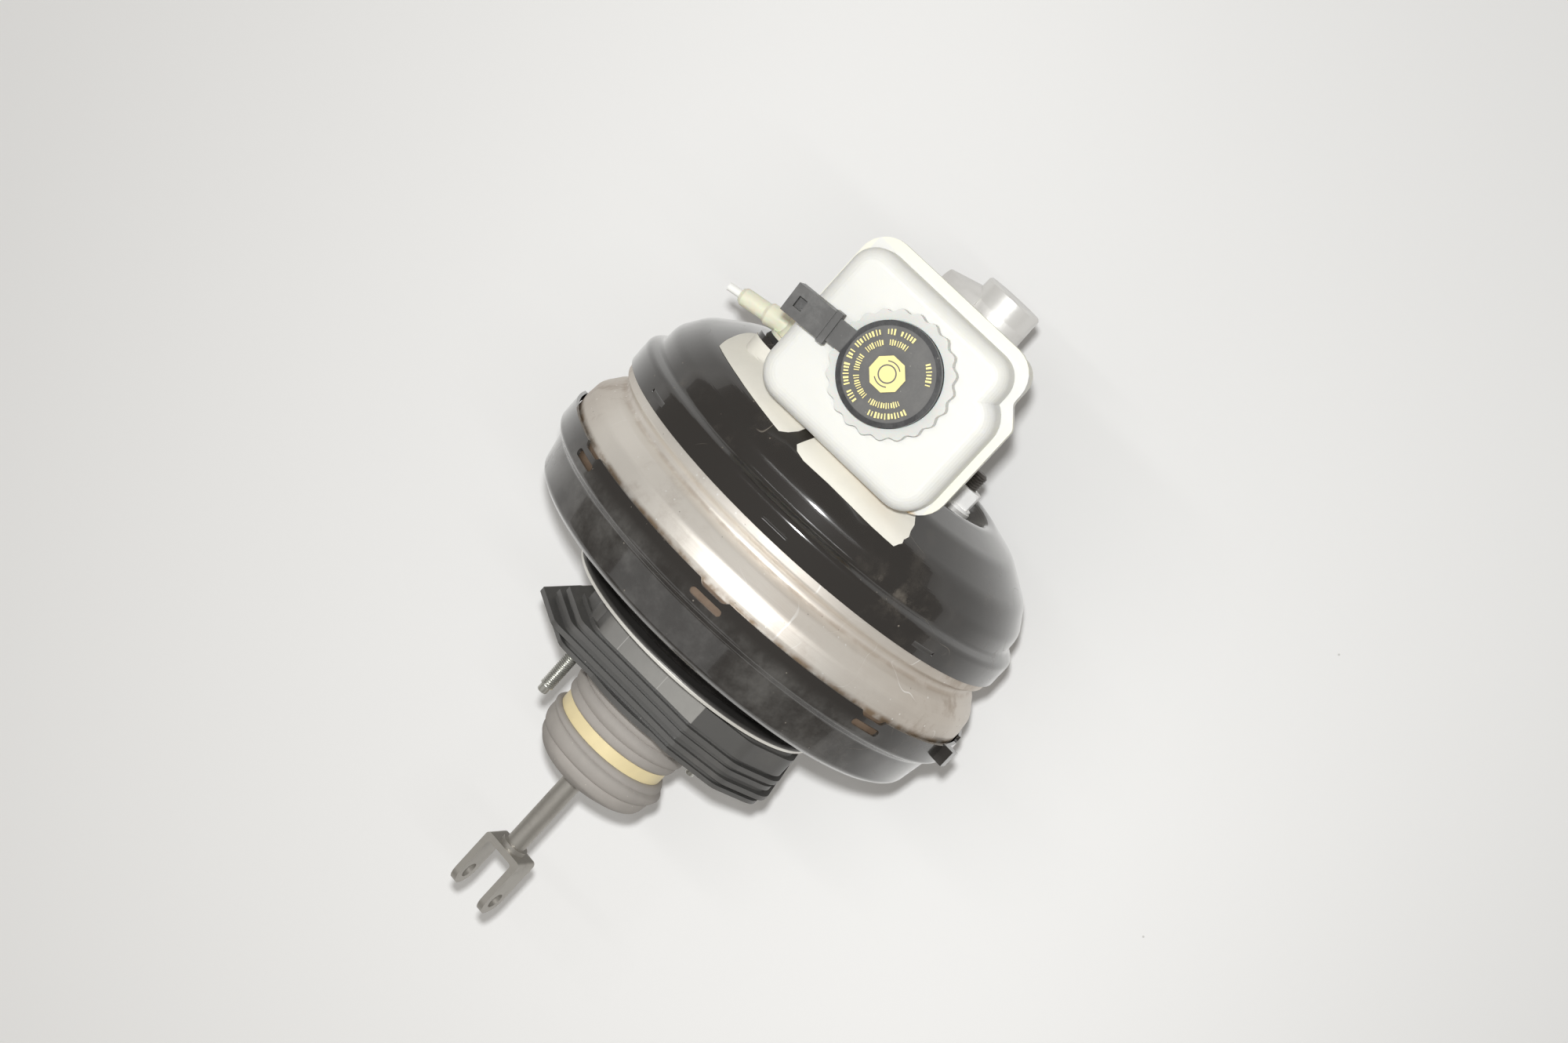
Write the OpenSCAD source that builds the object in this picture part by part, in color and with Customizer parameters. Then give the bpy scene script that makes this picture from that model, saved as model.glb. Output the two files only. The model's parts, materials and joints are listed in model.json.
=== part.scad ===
// Tandem vacuum brake booster with its master cylinder and fluid reservoir.
// The booster axis is X, forward is +X, the reservoir stands up along +Z.
// The origin is where the axis meets the bulkhead face that the studs pull against.

/* [Booster shells] */
// Outer radius of the rolled rear rim
rim_r = 140; // [136:0.5:144]
// Thickness of the pressed steel sheet
sheet_t = 1.8; // [1.4:0.1:2.2]
// Distance from the bulkhead to the flat rear face
rear_x = 42; // [41:0.5:43]
// Distance from the bulkhead to the pocket floor that the cylinder bolts to
nose_x = 189; // [188:0.5:190]

/* [Bulkhead] */
// Distance of each bulkhead stud from the axis
stud_pitch_r = 58; // [56:0.5:59]
// Angle of the stud line, measured from the left side towards the top
stud_angle = 46; // [42:1:50]
// Free length of a bulkhead stud behind the bulkhead face
stud_reach = 30; // [24:1:36]

/* [Push rod and clevis] */
// Radius of the push rod
rod_r = 6.25; // [5.5:0.25:6.5]
// Distance from the bulkhead back to the clevis pin
pin_x = 150; // [146:1:160]
// Clear width of the clevis jaw
jaw_w = 20; // [16:0.5:22]
// Radius of the clevis pin holes
pin_hole_r = 5.05; // [4:0.05:6]
// Roll of the clevis about the rod
clevis_roll = 10; // [0:1:15]

/* [Master cylinder] */
// Radius of the cylinder bore
bore_r = 12.7; // [12.2:0.1:13]
// Half distance between the two mounting ears
ear_y = 50; // [48:0.5:51]
// Distance from the bulkhead to the closed end of the cylinder
end_x = 297; // [296:1:304]

/* [Reservoir] */
// Distance from the bulkhead to the front edge of the weld flange
res_front_x = 286; // [284:1:290]
// Width of the weld flange
res_w = 117; // [112:1:120]
// Height of the weld flange above the cylinder axis
weld_z = 104; // [104:1:108]
// Radius of the filler cap
cap_r = 26; // [25:0.5:27]

/* [Hidden] */

$fn = 64;
round_n = 7;
fit_gap = 0.05;
air_gap = 0.3;

rim_x = 88;
skirt_end_x = 101.5;
front_skirt_x = 137;
crimp_n = 8;
crimp_phase = 3.5;
slot_x = 96;
slot_l = 20;
slot_w = 4;

neck_r = 31;
stud_r = 4;
shank_r = 4.3;
plate_t = 1.8;
plate_r = 84.5;
tube_r = 24;
ball_x = 50;
ball_r = 7;
key_x = 62.5;
rod_end_x = 121;

web_x = 106;
rear_plate_x = 52;
front_plate_x = 114;
pilot_r = 19.6;
flange_t = 6;
cyl_r = 19;
well_x = [218, 264];
well_r = 10.5;
top_z = 27;

res_rear_x = nose_x;
tub_rear_x = nose_x + 13;
tub_z = 34;
step_z = 62;
wall = 2.4;
flange_lip = 4;
cover_h = 24;
cap_x = 237.5;
neck_top_z = weld_z + 30;
neck_ir = 21;
neck_or = 24;

valve_y = 62;
valve_z = 58;
valve_x = 200;
hose_x = 211;
spigot_lean = 9;
spigot_r = 5;
spigot_len = 36;

// Curve and sheet functions

// Points along an arc from angle a to angle b
function arc_points(c, r, a, b) =
    [for (i = [0:round_n]) c + r * [cos(a + (b - a) * i / round_n), sin(a + (b - a) * i / round_n)]];

function unit(v) = v / norm(v);
function turn(v) = [-v[1], v[0]];

// Replaces corner p, between a and b, by an arc of radius r that touches both sides
function corner(a, p, b, r) =
    let (u = unit(a - p), v = unit(b - p), half = acos(max(-1, min(1, u * v))) / 2)
    (r <= 0 || half > 89) ? [p] :
    let (
        c = p + unit(u + v) * r / sin(half),
        s = p + u * r / tan(half),
        e = p + v * r / tan(half),
        a0 = atan2(s[1] - c[1], s[0] - c[0]),
        raw = atan2(e[1] - c[1], e[0] - c[0]) - a0,
        sweep = raw > 180 ? raw - 360 : (raw < -180 ? raw + 360 : raw)
    )
    arc_points(c, r, a0, a0 + sweep);

function flat2(p) = [p[0], p[1]];

// Rounds an open path of [x, y, corner radius] entries
function open_path(pts) =
    let (n = len(pts))
    [for (i = [0:n - 1])
        each (i == 0 || i == n - 1) ? [flat2(pts[i])]
            : corner(flat2(pts[i - 1]), flat2(pts[i]), flat2(pts[i + 1]), pts[i][2])];

// Rounds a closed outline of [x, y, corner radius] entries
function closed_path(pts) =
    let (n = len(pts))
    [for (i = [0:n - 1])
        each corner(flat2(pts[(i + n - 1) % n]), flat2(pts[i]), flat2(pts[(i + 1) % n]), pts[i][2])];

// Offset of an open path by t to its right
function beside(path, t) =
    let (n = len(path))
    [for (i = [0:n - 1])
        let (
            before = unit(path[max(i, 1)] - path[max(i, 1) - 1]),
            after = unit(path[min(i, n - 2) + 1] - path[min(i, n - 2)]),
            mid = unit(before + after)
        )
        path[i] - turn(mid) * t / (mid * before)];

// Closed section of a sheet of thickness t that follows an open path of [x, radius]
function sheet(pts, t) =
    let (path = open_path(pts), inner = beside(path, t), n = len(path))
    concat(path, [for (i = [0:n - 1]) inner[n - 1 - i]]);

// Shared building blocks

// Turns a section of [x, radius] points about the booster axis
module turned(section) {
    rotate([0, 90, 0])
        rotate_extrude($fn = 96)
            polygon([for (p = section) [p[1], p[0]]]);
}

// Solid round bar on a line parallel to the booster axis
module bar(x0, x1, r, y = 0, z = 0) {
    translate([x0, y, z])
        rotate([0, 90, 0])
            cylinder(r = r, h = x1 - x0);
}

module ring(x0, x1, r_out, r_in, y = 0, z = 0) {
    difference() {
        bar(x0, x1, r_out, y, z);
        bar(x0 - 1, x1 + 1, r_in, y, z);
    }
}

// Plate lying across the booster axis, from an outline of [y, z] points
module across(outline, x0, x1) {
    translate([x0, 0, 0])
        rotate([90, 0, 90])
            linear_extrude(height = x1 - x0)
                polygon(outline);
}

// Height of a spring's wire along X, as a share of a turn's rise, after the given number of turns.
// The first and last half turns lie flat, so that the spring has square ends.
function wire_rise(turn_n, turns) = max(0, min(turn_n - 0.5, turns));

// Coil spring along X: a round wire swept along a helix that is squared off at both ends
module coil(x0, x1, r, wire_r, turns) {
    sides = wire_r > 1.5 ? 10 : 6;
    per_turn = wire_r > 1.5 ? 18 : 14;
    last = per_turn * (turns + 1);
    pitch = (x1 - x0 - 2 * wire_r) / turns;
    points = [
        for (i = [0:last], k = [0:sides - 1])
            let (
                a = 360 * i / per_turn,
                b = 360 * k / sides,
                out = r + wire_r * cos(b)
            )
            [
                x0 + wire_r + pitch * wire_rise(i / per_turn, turns) + wire_r * sin(b),
                out * cos(a),
                out * sin(a)
            ]
    ];
    walls = [
        for (i = [0:last - 1], k = [0:sides - 1])
            let (p = i * sides + k, q = i * sides + (k + 1) % sides)
            each [[p, q, q + sides], [p, q + sides, p + sides]]
    ];
    ends = [
        [for (k = [sides - 1:-1:0]) k],
        [for (k = [0:sides - 1]) last * sides + k]
    ];
    polyhedron(points, concat(walls, ends), convexity = 6);
}

module hex_nut(x0, h, flats, y = 0, z = 0) {
    translate([x0, y, z])
        rotate([0, 90, 0])
            cylinder(r = flats / sqrt(3), h = h, $fn = 6);
}

// Booster housing

rear_path = [
    [4, neck_r, 0], [rear_x, neck_r, 4], [rear_x, 71, 4], [rear_x + 5, 76, 5],
    [rear_x + 19, 127, 6], [rear_x + 22, 131.2, 5], [rim_x - 4, rim_r - 5, 3],
    [rim_x, rim_r, 3], [skirt_end_x, rim_r, 0]
];

middle_path = [
    [rim_x + 2, rim_r - 3.6, 0], [skirt_end_x + 3, rim_r - 3, 6], [113, rim_r - 4, 7], [121, 130, 6],
    [125, 125, 3], [128.5, 125, 3], [131.5, 129.4, 2], [149, 129.4, 0]
];

front_path = [
    [front_skirt_x, 131.4, 0], [151, 131.4, 4], [154.5, 125.4, 3], [165, 124.6, 12],
    [178, 116, 20], [191.5, 96, 24], [199.5, 72, 9], [nose_x, 64, 3], [nose_x, pilot_r + 0.3, 0]
];

module stud_places() {
    for (side = [0, 180])
        rotate([side + stud_angle, 0, 0])
            translate([0, stud_pitch_r, 0])
                children();
}

// Places children at every crimp around the rim, pointing outwards along +Z
module crimp_places() {
    for (k = [0:crimp_n - 1])
        rotate([k * 360 / crimp_n + crimp_phase, 0, 0])
            children();
}

// Cuts one crimp into the rim: a lanced slot, and the notch where the skirt's edge is drawn back
module crimp_cut(depth) {
    lip = skirt_end_x - 2.6;
    half = slot_l / 2;
    translate([0, 0, rim_r - depth])
        linear_extrude(height = 2 * depth) {
            polygon(closed_path([
                [slot_x - slot_w, -half, 1.9], [slot_x, -half, 1.9],
                [slot_x, half, 1.9], [slot_x - slot_w, half, 1.9]
            ]));
            polygon(closed_path([
                [lip, -half + 3, 3], [lip, half - 3, 3],
                [lip + 6, half + 3, 0], [lip + 6, -half - 3, 0]
            ]));
        }
}

module rear_shell() {
    color([0.03, 0.03, 0.035])
        difference() {
            union() {
                turned(sheet(rear_path, sheet_t));
                rotate([80, 0, 0])
                    translate([skirt_end_x - 9, -4, rim_r - 1])
                        cube([10, 8, 7]);
            }
            crimp_places()
                crimp_cut(5);
            stud_places()
                bar(rear_x - 2, rear_x + 6, shank_r);
        }
}

module middle_shell() {
    color([0.72, 0.69, 0.66])
        turned(sheet(middle_path, 1.6));
}

module front_shell() {
    color([0.03, 0.03, 0.035])
        difference() {
            union() {
                turned(sheet(front_path, sheet_t));
                bar(valve_x - 17, valve_x, 17, valve_y, valve_z);
            }
            bar(valve_x - 22, valve_x - sheet_t, 17 - sheet_t, valve_y, valve_z);
            bar(valve_x - 4, valve_x + 1, 11, valve_y, valve_z);
            crimp_places()
                translate([front_skirt_x + 5.5, 0, 132.9])
                    rotate([90, 0, 0])
                        cylinder(r = 2.2, h = 16, center = true, $fn = 24);
            for (y = [-ear_y, ear_y])
                bar(nose_x - 4, nose_x + 1, 5, y);
        }
}

centre_path = [
    [web_x, 28, 0], [web_x, 120, 8], [web_x - 6, 132.8, 5], [rim_x + 6, 132.8, 0]
];

module centre_plate() {
    color([0.62, 0.62, 0.63])
        turned(sheet(centre_path, 1.5));
}

module centre_seal() {
    color([0.08, 0.08, 0.08])
        turned([
            [web_x - 6, tube_r + fit_gap], [web_x + 4, tube_r + fit_gap], [web_x + 4, 30],
            [web_x + 1.5, 30], [web_x + 1.5, 28], [web_x, 28], [web_x, 30], [web_x - 6, 30]
        ]);
}

module rear_guide_seal() {
    color([0.08, 0.08, 0.08])
        turned([
            [8, tube_r + fit_gap], [22, tube_r + fit_gap], [22, neck_r - sheet_t], [8, neck_r - sheet_t]
        ]);
}

module support_plate() {
    color([0.75, 0.72, 0.66])
        difference() {
            turned(sheet([[rear_x - 3.5, plate_r - 1, 0], [rear_x, plate_r, 2], [rear_x, 38, 0]], plate_t));
            stud_places()
                bar(20, rear_x + 2, shank_r + air_gap);
        }
}

// Gasket outline of [y, z, corner radius], with its pointed left end at y = left, grown by the factor k
function gasket_outline(k, left, tip) =
    closed_path([
        [left * k, 30 * k, tip], [(left - 24) * k, 61 * k, 8], [-35 * k, 62 * k, 5], [-66 * k, 48 * k, 16],
        [-87 * k, 16 * k, 22], [-80 * k, -40 * k, 26], [-46 * k, -67 * k, 22], [46 * k, -67 * k, 22],
        [(left - 4) * k, -30 * k, 20]
    ]);

// Layers of the gasket: distance from the bulkhead, thickness, size factor and left end
gasket_layers = [
    [0.5, 2.5, 0.97, 72], [2.5, 4, 0.93, 72], [6, 3, 1, 80.5], [8.5, 3.5, 0.95, 76], [11.5, 3, 0.975, 75],
    [14, 3, 0.945, 72], [16.5, 3, 0.985, 71], [19, 3, 0.93, 66], [21.5, 12, 0.965, 60]
];

module bulkhead_gasket() {
    back_x = rear_x - plate_t;
    color([0.12, 0.12, 0.125])
        difference() {
            union() {
                difference() {
                    union() {
                        for (layer = gasket_layers)
                            across(gasket_outline(layer[2], layer[3], 2), layer[0], layer[0] + layer[1]);
                        across(gasket_outline(0.93, 58, 8), 33, back_x);
                    }
                    across(gasket_outline(0.78, 66, 14), 24, rear_x);
                }
                ring(0, 3, 63.4, 59);
                stud_places()
                    bar(18, back_x - 1, 8.5);
            }
            bar(-1, rear_x, 40);
            stud_places()
                bar(-1, rear_x, shank_r + air_gap);
        }
}

module bulkhead_studs() {
    color([0.75, 0.75, 0.73])
        stud_places() {
            bar(-stud_reach + 4, 0, stud_r);
            bar(0, rear_x + sheet_t + 0.5, shank_r);
            bar(-stud_reach, -stud_reach + 4.5, 3);
            bar(rear_x + sheet_t, rear_x + 5, 8.5);
        }
}

// Dust boot on the rear neck

// Outer line of the bellows, as [x, radius, corner radius]
boot_path = [
    [10, neck_r + 3.4, 0], [2, neck_r + 3.4, 1], [-1, 36.5, 1], [-4, 36.5, 1], [-5.5, 33.8, 0.8],
    [-8, 36.6, 1], [-12, 36.8, 1], [-13.5, 34, 0.8], [-16, 36.8, 1], [-21, 36.9, 1], [-22.5, 33.2, 0.8],
    [-25, 32.8, 0.5], [-36.5, 32.8, 0.5], [-38, 36, 1], [-42, 36.2, 1], [-43.5, 33.4, 0.8],
    [-46, 36, 1], [-50, 35.4, 1], [-51.5, 32.6, 0.8], [-54, 34.6, 1], [-58, 33.4, 1.5], [-60, 30.6, 0.8],
    [-63, 31, 4], [-70.5, 20, 7], [-71.5, rod_r + 3, 2], [-75, rod_r + 2.4, 0]
];

module boot() {
    color([0.43, 0.40, 0.39])
        turned(sheet([for (i = [len(boot_path) - 1:-1:0]) boot_path[i]], 2.2));
}

module boot_ring() {
    color([0.88, 0.80, 0.55])
        turned([[-35.8, 33.1], [-25.6, 33.1], [-25.6, 34.6], [-27, 35.8], [-34.4, 35.8], [-35.8, 34.6]]);
}

// Input side

module push_rod() {
    color([0.36, 0.35, 0.33])
        union() {
            bar(-rod_end_x, 20, rod_r);
            translate([20, 0, 0])
                rotate([0, 90, 0])
                    cylinder(r1 = rod_r, r2 = 4.5, h = 3);
            bar(23, ball_x, 4.5);
            translate([ball_x, 0, 0])
                sphere(r = ball_r, $fn = 48);
            bar(-rod_end_x, -rod_end_x + 3, rod_r + 2);
            ring(-4.4, -3, rod_r + 1.5, rod_r - 1);
        }
}

module clevis() {
    strap = 4;
    half = jaw_w / 2;
    tip_x = pin_x + 10;
    color([0.33, 0.32, 0.30])
        rotate([-clevis_roll, 0, 0])
            difference() {
                intersection() {
                    translate([0, 0, -10])
                        linear_extrude(height = 20)
                            difference() {
                                polygon(closed_path([
                                    [-tip_x, -half - strap, 0], [-tip_x, half + strap, 0],
                                    [-rod_end_x, half + strap, 2.5], [-rod_end_x, -half - strap, 2.5]
                                ]));
                                polygon(closed_path([
                                    [-tip_x - 1, -half, 0], [-tip_x - 1, half, 0],
                                    [-rod_end_x - strap, half, 2], [-rod_end_x - strap, -half, 2]
                                ]));
                            }
                    union() {
                        translate([-pin_x, 0, 0])
                            rotate([90, 0, 0])
                                cylinder(r = 10, h = 4 * jaw_w, center = true);
                        translate([-pin_x, -2 * jaw_w, -10])
                            cube([pin_x, 4 * jaw_w, 20]);
                    }
                }
                translate([-pin_x, 0, 0])
                    rotate([90, 0, 0])
                        cylinder(r = pin_hole_r, h = 4 * jaw_w, center = true);
            }
}

module rod_spring_seat() {
    color([0.6, 0.6, 0.6])
        turned([
            [-3, rod_r], [2.4, rod_r], [2.4, 11.4], [-0.5, 11.4], [-0.5, 14.5], [-3, 14.5]
        ]);
}

module rod_spring() {
    color([0.6, 0.6, 0.62])
        coil(-0.4, 19.9, 13, 0.9, 4);
}

module plunger() {
    color([0.7, 0.7, 0.68])
        difference() {
            union() {
                bar(28, 111, 9 - fit_gap);
                bar(28, 33, 12.5);
            }
            bar(27, ball_x, ball_r + 0.2);
            translate([ball_x, 0, 0])
                sphere(r = ball_r + 0.04, $fn = 48);
            for (y = [-13, 7])
                translate([key_x - 2, y, -10])
                    cube([7, 6, 20]);
        }
}

module poppet_valve() {
    color([0.1, 0.1, 0.1])
        turned([
            [20, 11], [26, 11], [27.6, 12.4], [27.6, 18], [25, 18], [25, 15.4], [22, 15.4], [22, 19.9],
            [20, 19.9]
        ]);
}

module poppet_spring() {
    color([0.6, 0.6, 0.62])
        coil(22.1, 24.9, 17.1, 0.45, 1);
}

module air_filter() {
    color([0.83, 0.81, 0.75])
        ring(-24, -14, 20.4, 10.8);
}

module valve_body() {
    color([0.16, 0.15, 0.14])
        difference() {
            union() {
                bar(-26, 148, tube_r);
                ring(rear_plate_x + 1.5, rear_plate_x + 7, 36, tube_r - 1);
                ring(front_plate_x + 1.5, front_plate_x + 8, 36, tube_r - 1);
            }
            bar(-27, 29, 20.4);
            bar(28, 35.5, 16);
            bar(35, 112, 9);
            bar(111.5, 124, 13);
            bar(123.5, 138, 16.2);
            bar(137, 149, 20);
            for (k = [0:2])
                rotate([120 * k, 0, 0])
                    translate([38, -3, 13])
                        cube([14, 6, 5]);
            for (k = [0:2])
                rotate([120 * k, 0, 0])
                    bar(28, 140, 2.5, 0, 17.6);
            translate([key_x - 0.3, -10, -14])
                cube([3.6, 20, 40]);
        }
}

module plunger_key() {
    color([0.55, 0.55, 0.56])
        difference() {
            translate([key_x, -9.6, -13])
                cube([3, 19.2, 34.5]);
            translate([key_x - 1, -7.2, -14])
                cube([5, 14.4, 30]);
        }
}

module rear_plate() {
    color([0.66, 0.66, 0.64])
        turned(sheet([
            [rear_plate_x, tube_r + fit_gap, 0], [rear_plate_x, 56, 4],
            [rear_plate_x + 9, 100, 6], [rear_plate_x + 21, 117, 0]
        ], 1.5));
}

module front_plate() {
    color([0.66, 0.66, 0.64])
        turned(sheet([
            [front_plate_x, tube_r + fit_gap, 0], [front_plate_x, 92, 5],
            [front_plate_x + 19, 108, 0]
        ], 1.5));
}

module rear_diaphragm() {
    color([0.07, 0.07, 0.07])
        turned(sheet([
            [rim_x - 1.5, rim_r - 8.8, 0], [rim_x - 8, 129.6, 3], [rear_plate_x + 19, 127.4, 3],
            [rear_plate_x + 15.5, 121, 3], [rear_plate_x + 17.5, 112.4, 1.5],
            [rear_plate_x + 8.9, 100.2, 6], [rear_plate_x - 0.1, 56.1, 4],
            [rear_plate_x - 0.1, tube_r + 0.1, 0]
        ], 1.3));
}

module front_diaphragm() {
    color([0.07, 0.07, 0.07])
        turned(sheet([
            [146, 126, 0], [136, 126, 2], [131.5, 119.5, 3], [126, 110, 3],
            [front_plate_x - 0.1, 94.6, 6], [front_plate_x - 0.1, tube_r + 0.1, 0]
        ], 1.3));
}

module return_spring() {
    color([0.5, 0.5, 0.52])
        coil(front_plate_x + 8.1, nose_x - sheet_t - 0.1, 30, 2.1, 4);
}

module reaction_disc() {
    color([0.09, 0.09, 0.09])
        bar(124, 131, 16);
}

module output_rod() {
    color([0.62, 0.62, 0.6])
        union() {
            bar(131, 136, 16);
            bar(135, 167, 6);
            translate([167, 0, 0])
                sphere(r = 6, $fn = 48);
        }
}

// Master cylinder

// Outline of the flange: a round middle with a round ear on each side, joined by their tangents
module ear_plate(mid_r, ear_r) {
    lean = acos((mid_r - ear_r) / ear_y);
    circle(r = mid_r);
    for (side = [-1, 1])
        translate([side * ear_y, 0])
            circle(r = ear_r);
    polygon([
        for (side = [[1, 1], [-1, 1], [-1, -1], [1, -1]])
            each side[0] * side[1] > 0
                ? [[side[0] * (ear_y + ear_r * cos(lean)), side[1] * ear_r * sin(lean)],
                   [side[0] * mid_r * cos(lean), side[1] * mid_r * sin(lean)]]
                : [[side[0] * mid_r * cos(lean), side[1] * mid_r * sin(lean)],
                   [side[0] * (ear_y + ear_r * cos(lean)), side[1] * ear_r * sin(lean)]]
    ]);
}

module outlet_boss(x) {
    translate([x, 12, 0])
        rotate([-90, 0, 0])
            cylinder(r1 = 17, r2 = 10.5, h = 24);
}

module outlet_bore(x) {
    translate([x, 24, 0])
        rotate([-90, 0, 0])
            cylinder(r = 4.5, h = 14);
    translate([x, 0, 0])
        rotate([-90, 0, 0])
            cylinder(r = 1.5, h = 30, $fn = 24);
}

module cylinder_body() {
    color([0.72, 0.71, 0.70])
        difference() {
            union() {
                bar(168, nose_x + 1, pilot_r);
                translate([nose_x, 0, 0])
                    rotate([90, 0, 90])
                        linear_extrude(height = flange_t)
                            ear_plate(25, 11);
                turned([
                    [nose_x + 4, 0], [end_x, 0], [end_x, 16.5], [end_x - 1, 17.5],
                    [nose_x + 16, cyl_r], [nose_x + 9, 23], [nose_x + 4, 24]
                ]);
                for (x = well_x)
                    translate([x, 0, 0])
                        cylinder(r = 14.5, h = top_z);
                for (x = [230, 275])
                    outlet_boss(x);
                translate([236, -5, 12])
                    cube([10, 10, 18.5]);
            }
            bar(167, 288, bore_r);
            bar(166, 176, 15);
            for (x = well_x) {
                translate([x, 0, 17.5])
                    cylinder(r = well_r, h = 20);
                translate([x, 0, 5])
                    cylinder(r = 1.6, h = 20, $fn = 24);
            }
            for (x = [230, 275])
                outlet_bore(x);
            for (y = [-ear_y, ear_y])
                bar(nose_x - 1, nose_x + flange_t + 1, 5.4, y);
            translate([241, -20, 25.6])
                rotate([-90, 0, 0])
                    cylinder(r = 2.55, h = 40, $fn = 32);
            difference() {
                bar(181, 185.5, pilot_r + 1);
                bar(180, 186, 17.4);
            }
        }
}

module cylinder_oring() {
    color([0.08, 0.08, 0.08])
        rotate([0, 90, 0])
            translate([0, 0, 183.25])
                rotate_extrude()
                    translate([19.1, 0])
                        circle(r = 1.7, $fn = 24);
}

module cylinder_studs() {
    color([0.45, 0.44, 0.42])
        for (y = [-ear_y, ear_y]) {
            bar(nose_x - sheet_t, nose_x + 28, 5, y);
            bar(nose_x - sheet_t - 3, nose_x - sheet_t, 9, y);
        }
}

module cylinder_nuts() {
    color([0.85, 0.84, 0.82])
        for (y = [-ear_y, ear_y])
            difference() {
                union() {
                    intersection() {
                        hex_nut(nose_x + flange_t, 12, 17, y);
                        translate([nose_x + flange_t, y, 0])
                            rotate([0, 90, 0])
                                cylinder(r1 = 14.5, r2 = 8.7, h = 12);
                    }
                    bar(nose_x + flange_t, nose_x + flange_t + 1.6, 10.4, y);
                }
                bar(nose_x, nose_x + 30, 5, y);
            }
}

module stop_ring() {
    color([0.3, 0.3, 0.3])
        difference() {
            ring(168.6, 170, 15, 13.2);
            translate([167, -3, -20])
                cube([5, 6, 20]);
        }
}

module guide_ring() {
    color([0.2, 0.2, 0.2])
        ring(170, 176, 15, bore_r + 0.02);
}

module piston(x0, x1, rear_depth, front_depth) {
    difference() {
        bar(x0, x1, bore_r - 0.06);
        bar(x0 - 1, x0 + rear_depth, 7.5);
        bar(x1 - front_depth, x1 + 1, 8);
    }
}

module primary_piston() {
    color([0.66, 0.66, 0.6])
        difference() {
            piston(160, 216, 13.4, 12);
            for (x = [200, 210])
                ring(x, x + 3.4, bore_r + 1, 10.4);
        }
}

module primary_cups() {
    color([0.07, 0.07, 0.07])
        for (x = [200, 210])
            ring(x, x + 3.4, bore_r - 0.03, 10.4);
}

module primary_spring() {
    color([0.6, 0.6, 0.62])
        coil(204.2, 240, 6.2, 0.9, 7);
}

module secondary_piston() {
    color([0.66, 0.66, 0.6])
        difference() {
            piston(240.1, 266, 0.5, 10);
            for (x = [244, 258])
                ring(x, x + 3.4, bore_r + 1, 10.4);
        }
}

module secondary_cups() {
    color([0.07, 0.07, 0.07])
        for (x = [244, 258])
            ring(x, x + 3.4, bore_r - 0.03, 10.4);
}

module secondary_spring() {
    color([0.6, 0.6, 0.62])
        coil(256.1, 287.9, 6.2, 0.9, 6);
}

// Reservoir

// Outline of the reservoir as [x, y] points, moved in by inset from the weld flange.
// The right side steps in towards the front, beside the outlet pipes.
function reservoir_outline(inset, rear_x = res_rear_x) =
    let (
        x0 = rear_x + inset, x1 = res_front_x - inset, y1 = res_w / 2 - inset,
        step = 9, step_x = 260 - inset, r = max(4, 16 - inset)
    )
    closed_path([
        [x0, y1, 2 * r], [x0, -y1, r], [step_x - 5, -y1, 5], [step_x + 5, -y1 + step, 5],
        [x1, -y1 + step, r], [x1, y1, r]
    ]);

module slab(inset, z0, z1, rear_x = res_rear_x) {
    translate([0, 0, z0])
        linear_extrude(height = z1 - z0)
            polygon(reservoir_outline(inset, rear_x));
}

// Narrow lower part of the tub, between the cylinder's ears and its end
module low_slab(inset, z0, z1) {
    x0 = tub_rear_x + inset;
    x1 = res_front_x - 9 - inset;
    y1 = 31 - inset;
    translate([0, 0, z0])
        linear_extrude(height = z1 - z0)
            polygon(closed_path([[x0, -y1, 8], [x1, -y1, 8], [x1, y1, 8], [x0, y1, 8]]));
}

// Domed box with rounded top edges, standing on z = 0, as the moulded cover is
module domed_box(x0, x1, y0, y1, h, r_side, r_top) {
    hull()
        for (x = [x0 + r_side, x1 - r_side], y = [y0 + r_side, y1 - r_side])
            translate([x, y, 0]) {
                cylinder(r = r_side, h = 1, $fn = 32);
                translate([0, 0, h - r_top])
                    rotate_extrude($fn = 32)
                        translate([r_side - r_top, 0])
                            intersection() {
                                circle(r = r_top, $fn = 32);
                                square(r_top);
                            }
            }
}

// Dome over the rear and the front half of the cover, shrunk by t all round
module cover_dome(t) {
    y1 = res_w / 2 - 3.5;
    domed_box(res_rear_x - 1.5 + t, 262, -y1 + 1 + t, y1 - t, cover_h - t, 17 - t, 8 - t);
    domed_box(225, res_front_x - 6.5 - t, -y1 + 10 + t, y1 - t, cover_h - t, 14 - t, 8 - t);
}

module reservoir_grommets() {
    color([0.1, 0.1, 0.1])
        for (x = well_x)
            difference() {
                union() {
                    translate([x, 0, 18])
                        cylinder(r = well_r, h = top_z - 18);
                    translate([x, 0, top_z])
                        cylinder(r = 13, h = 3);
                }
                translate([x, 0, 17])
                    cylinder(r = 7, h = 20);
            }
}

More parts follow.
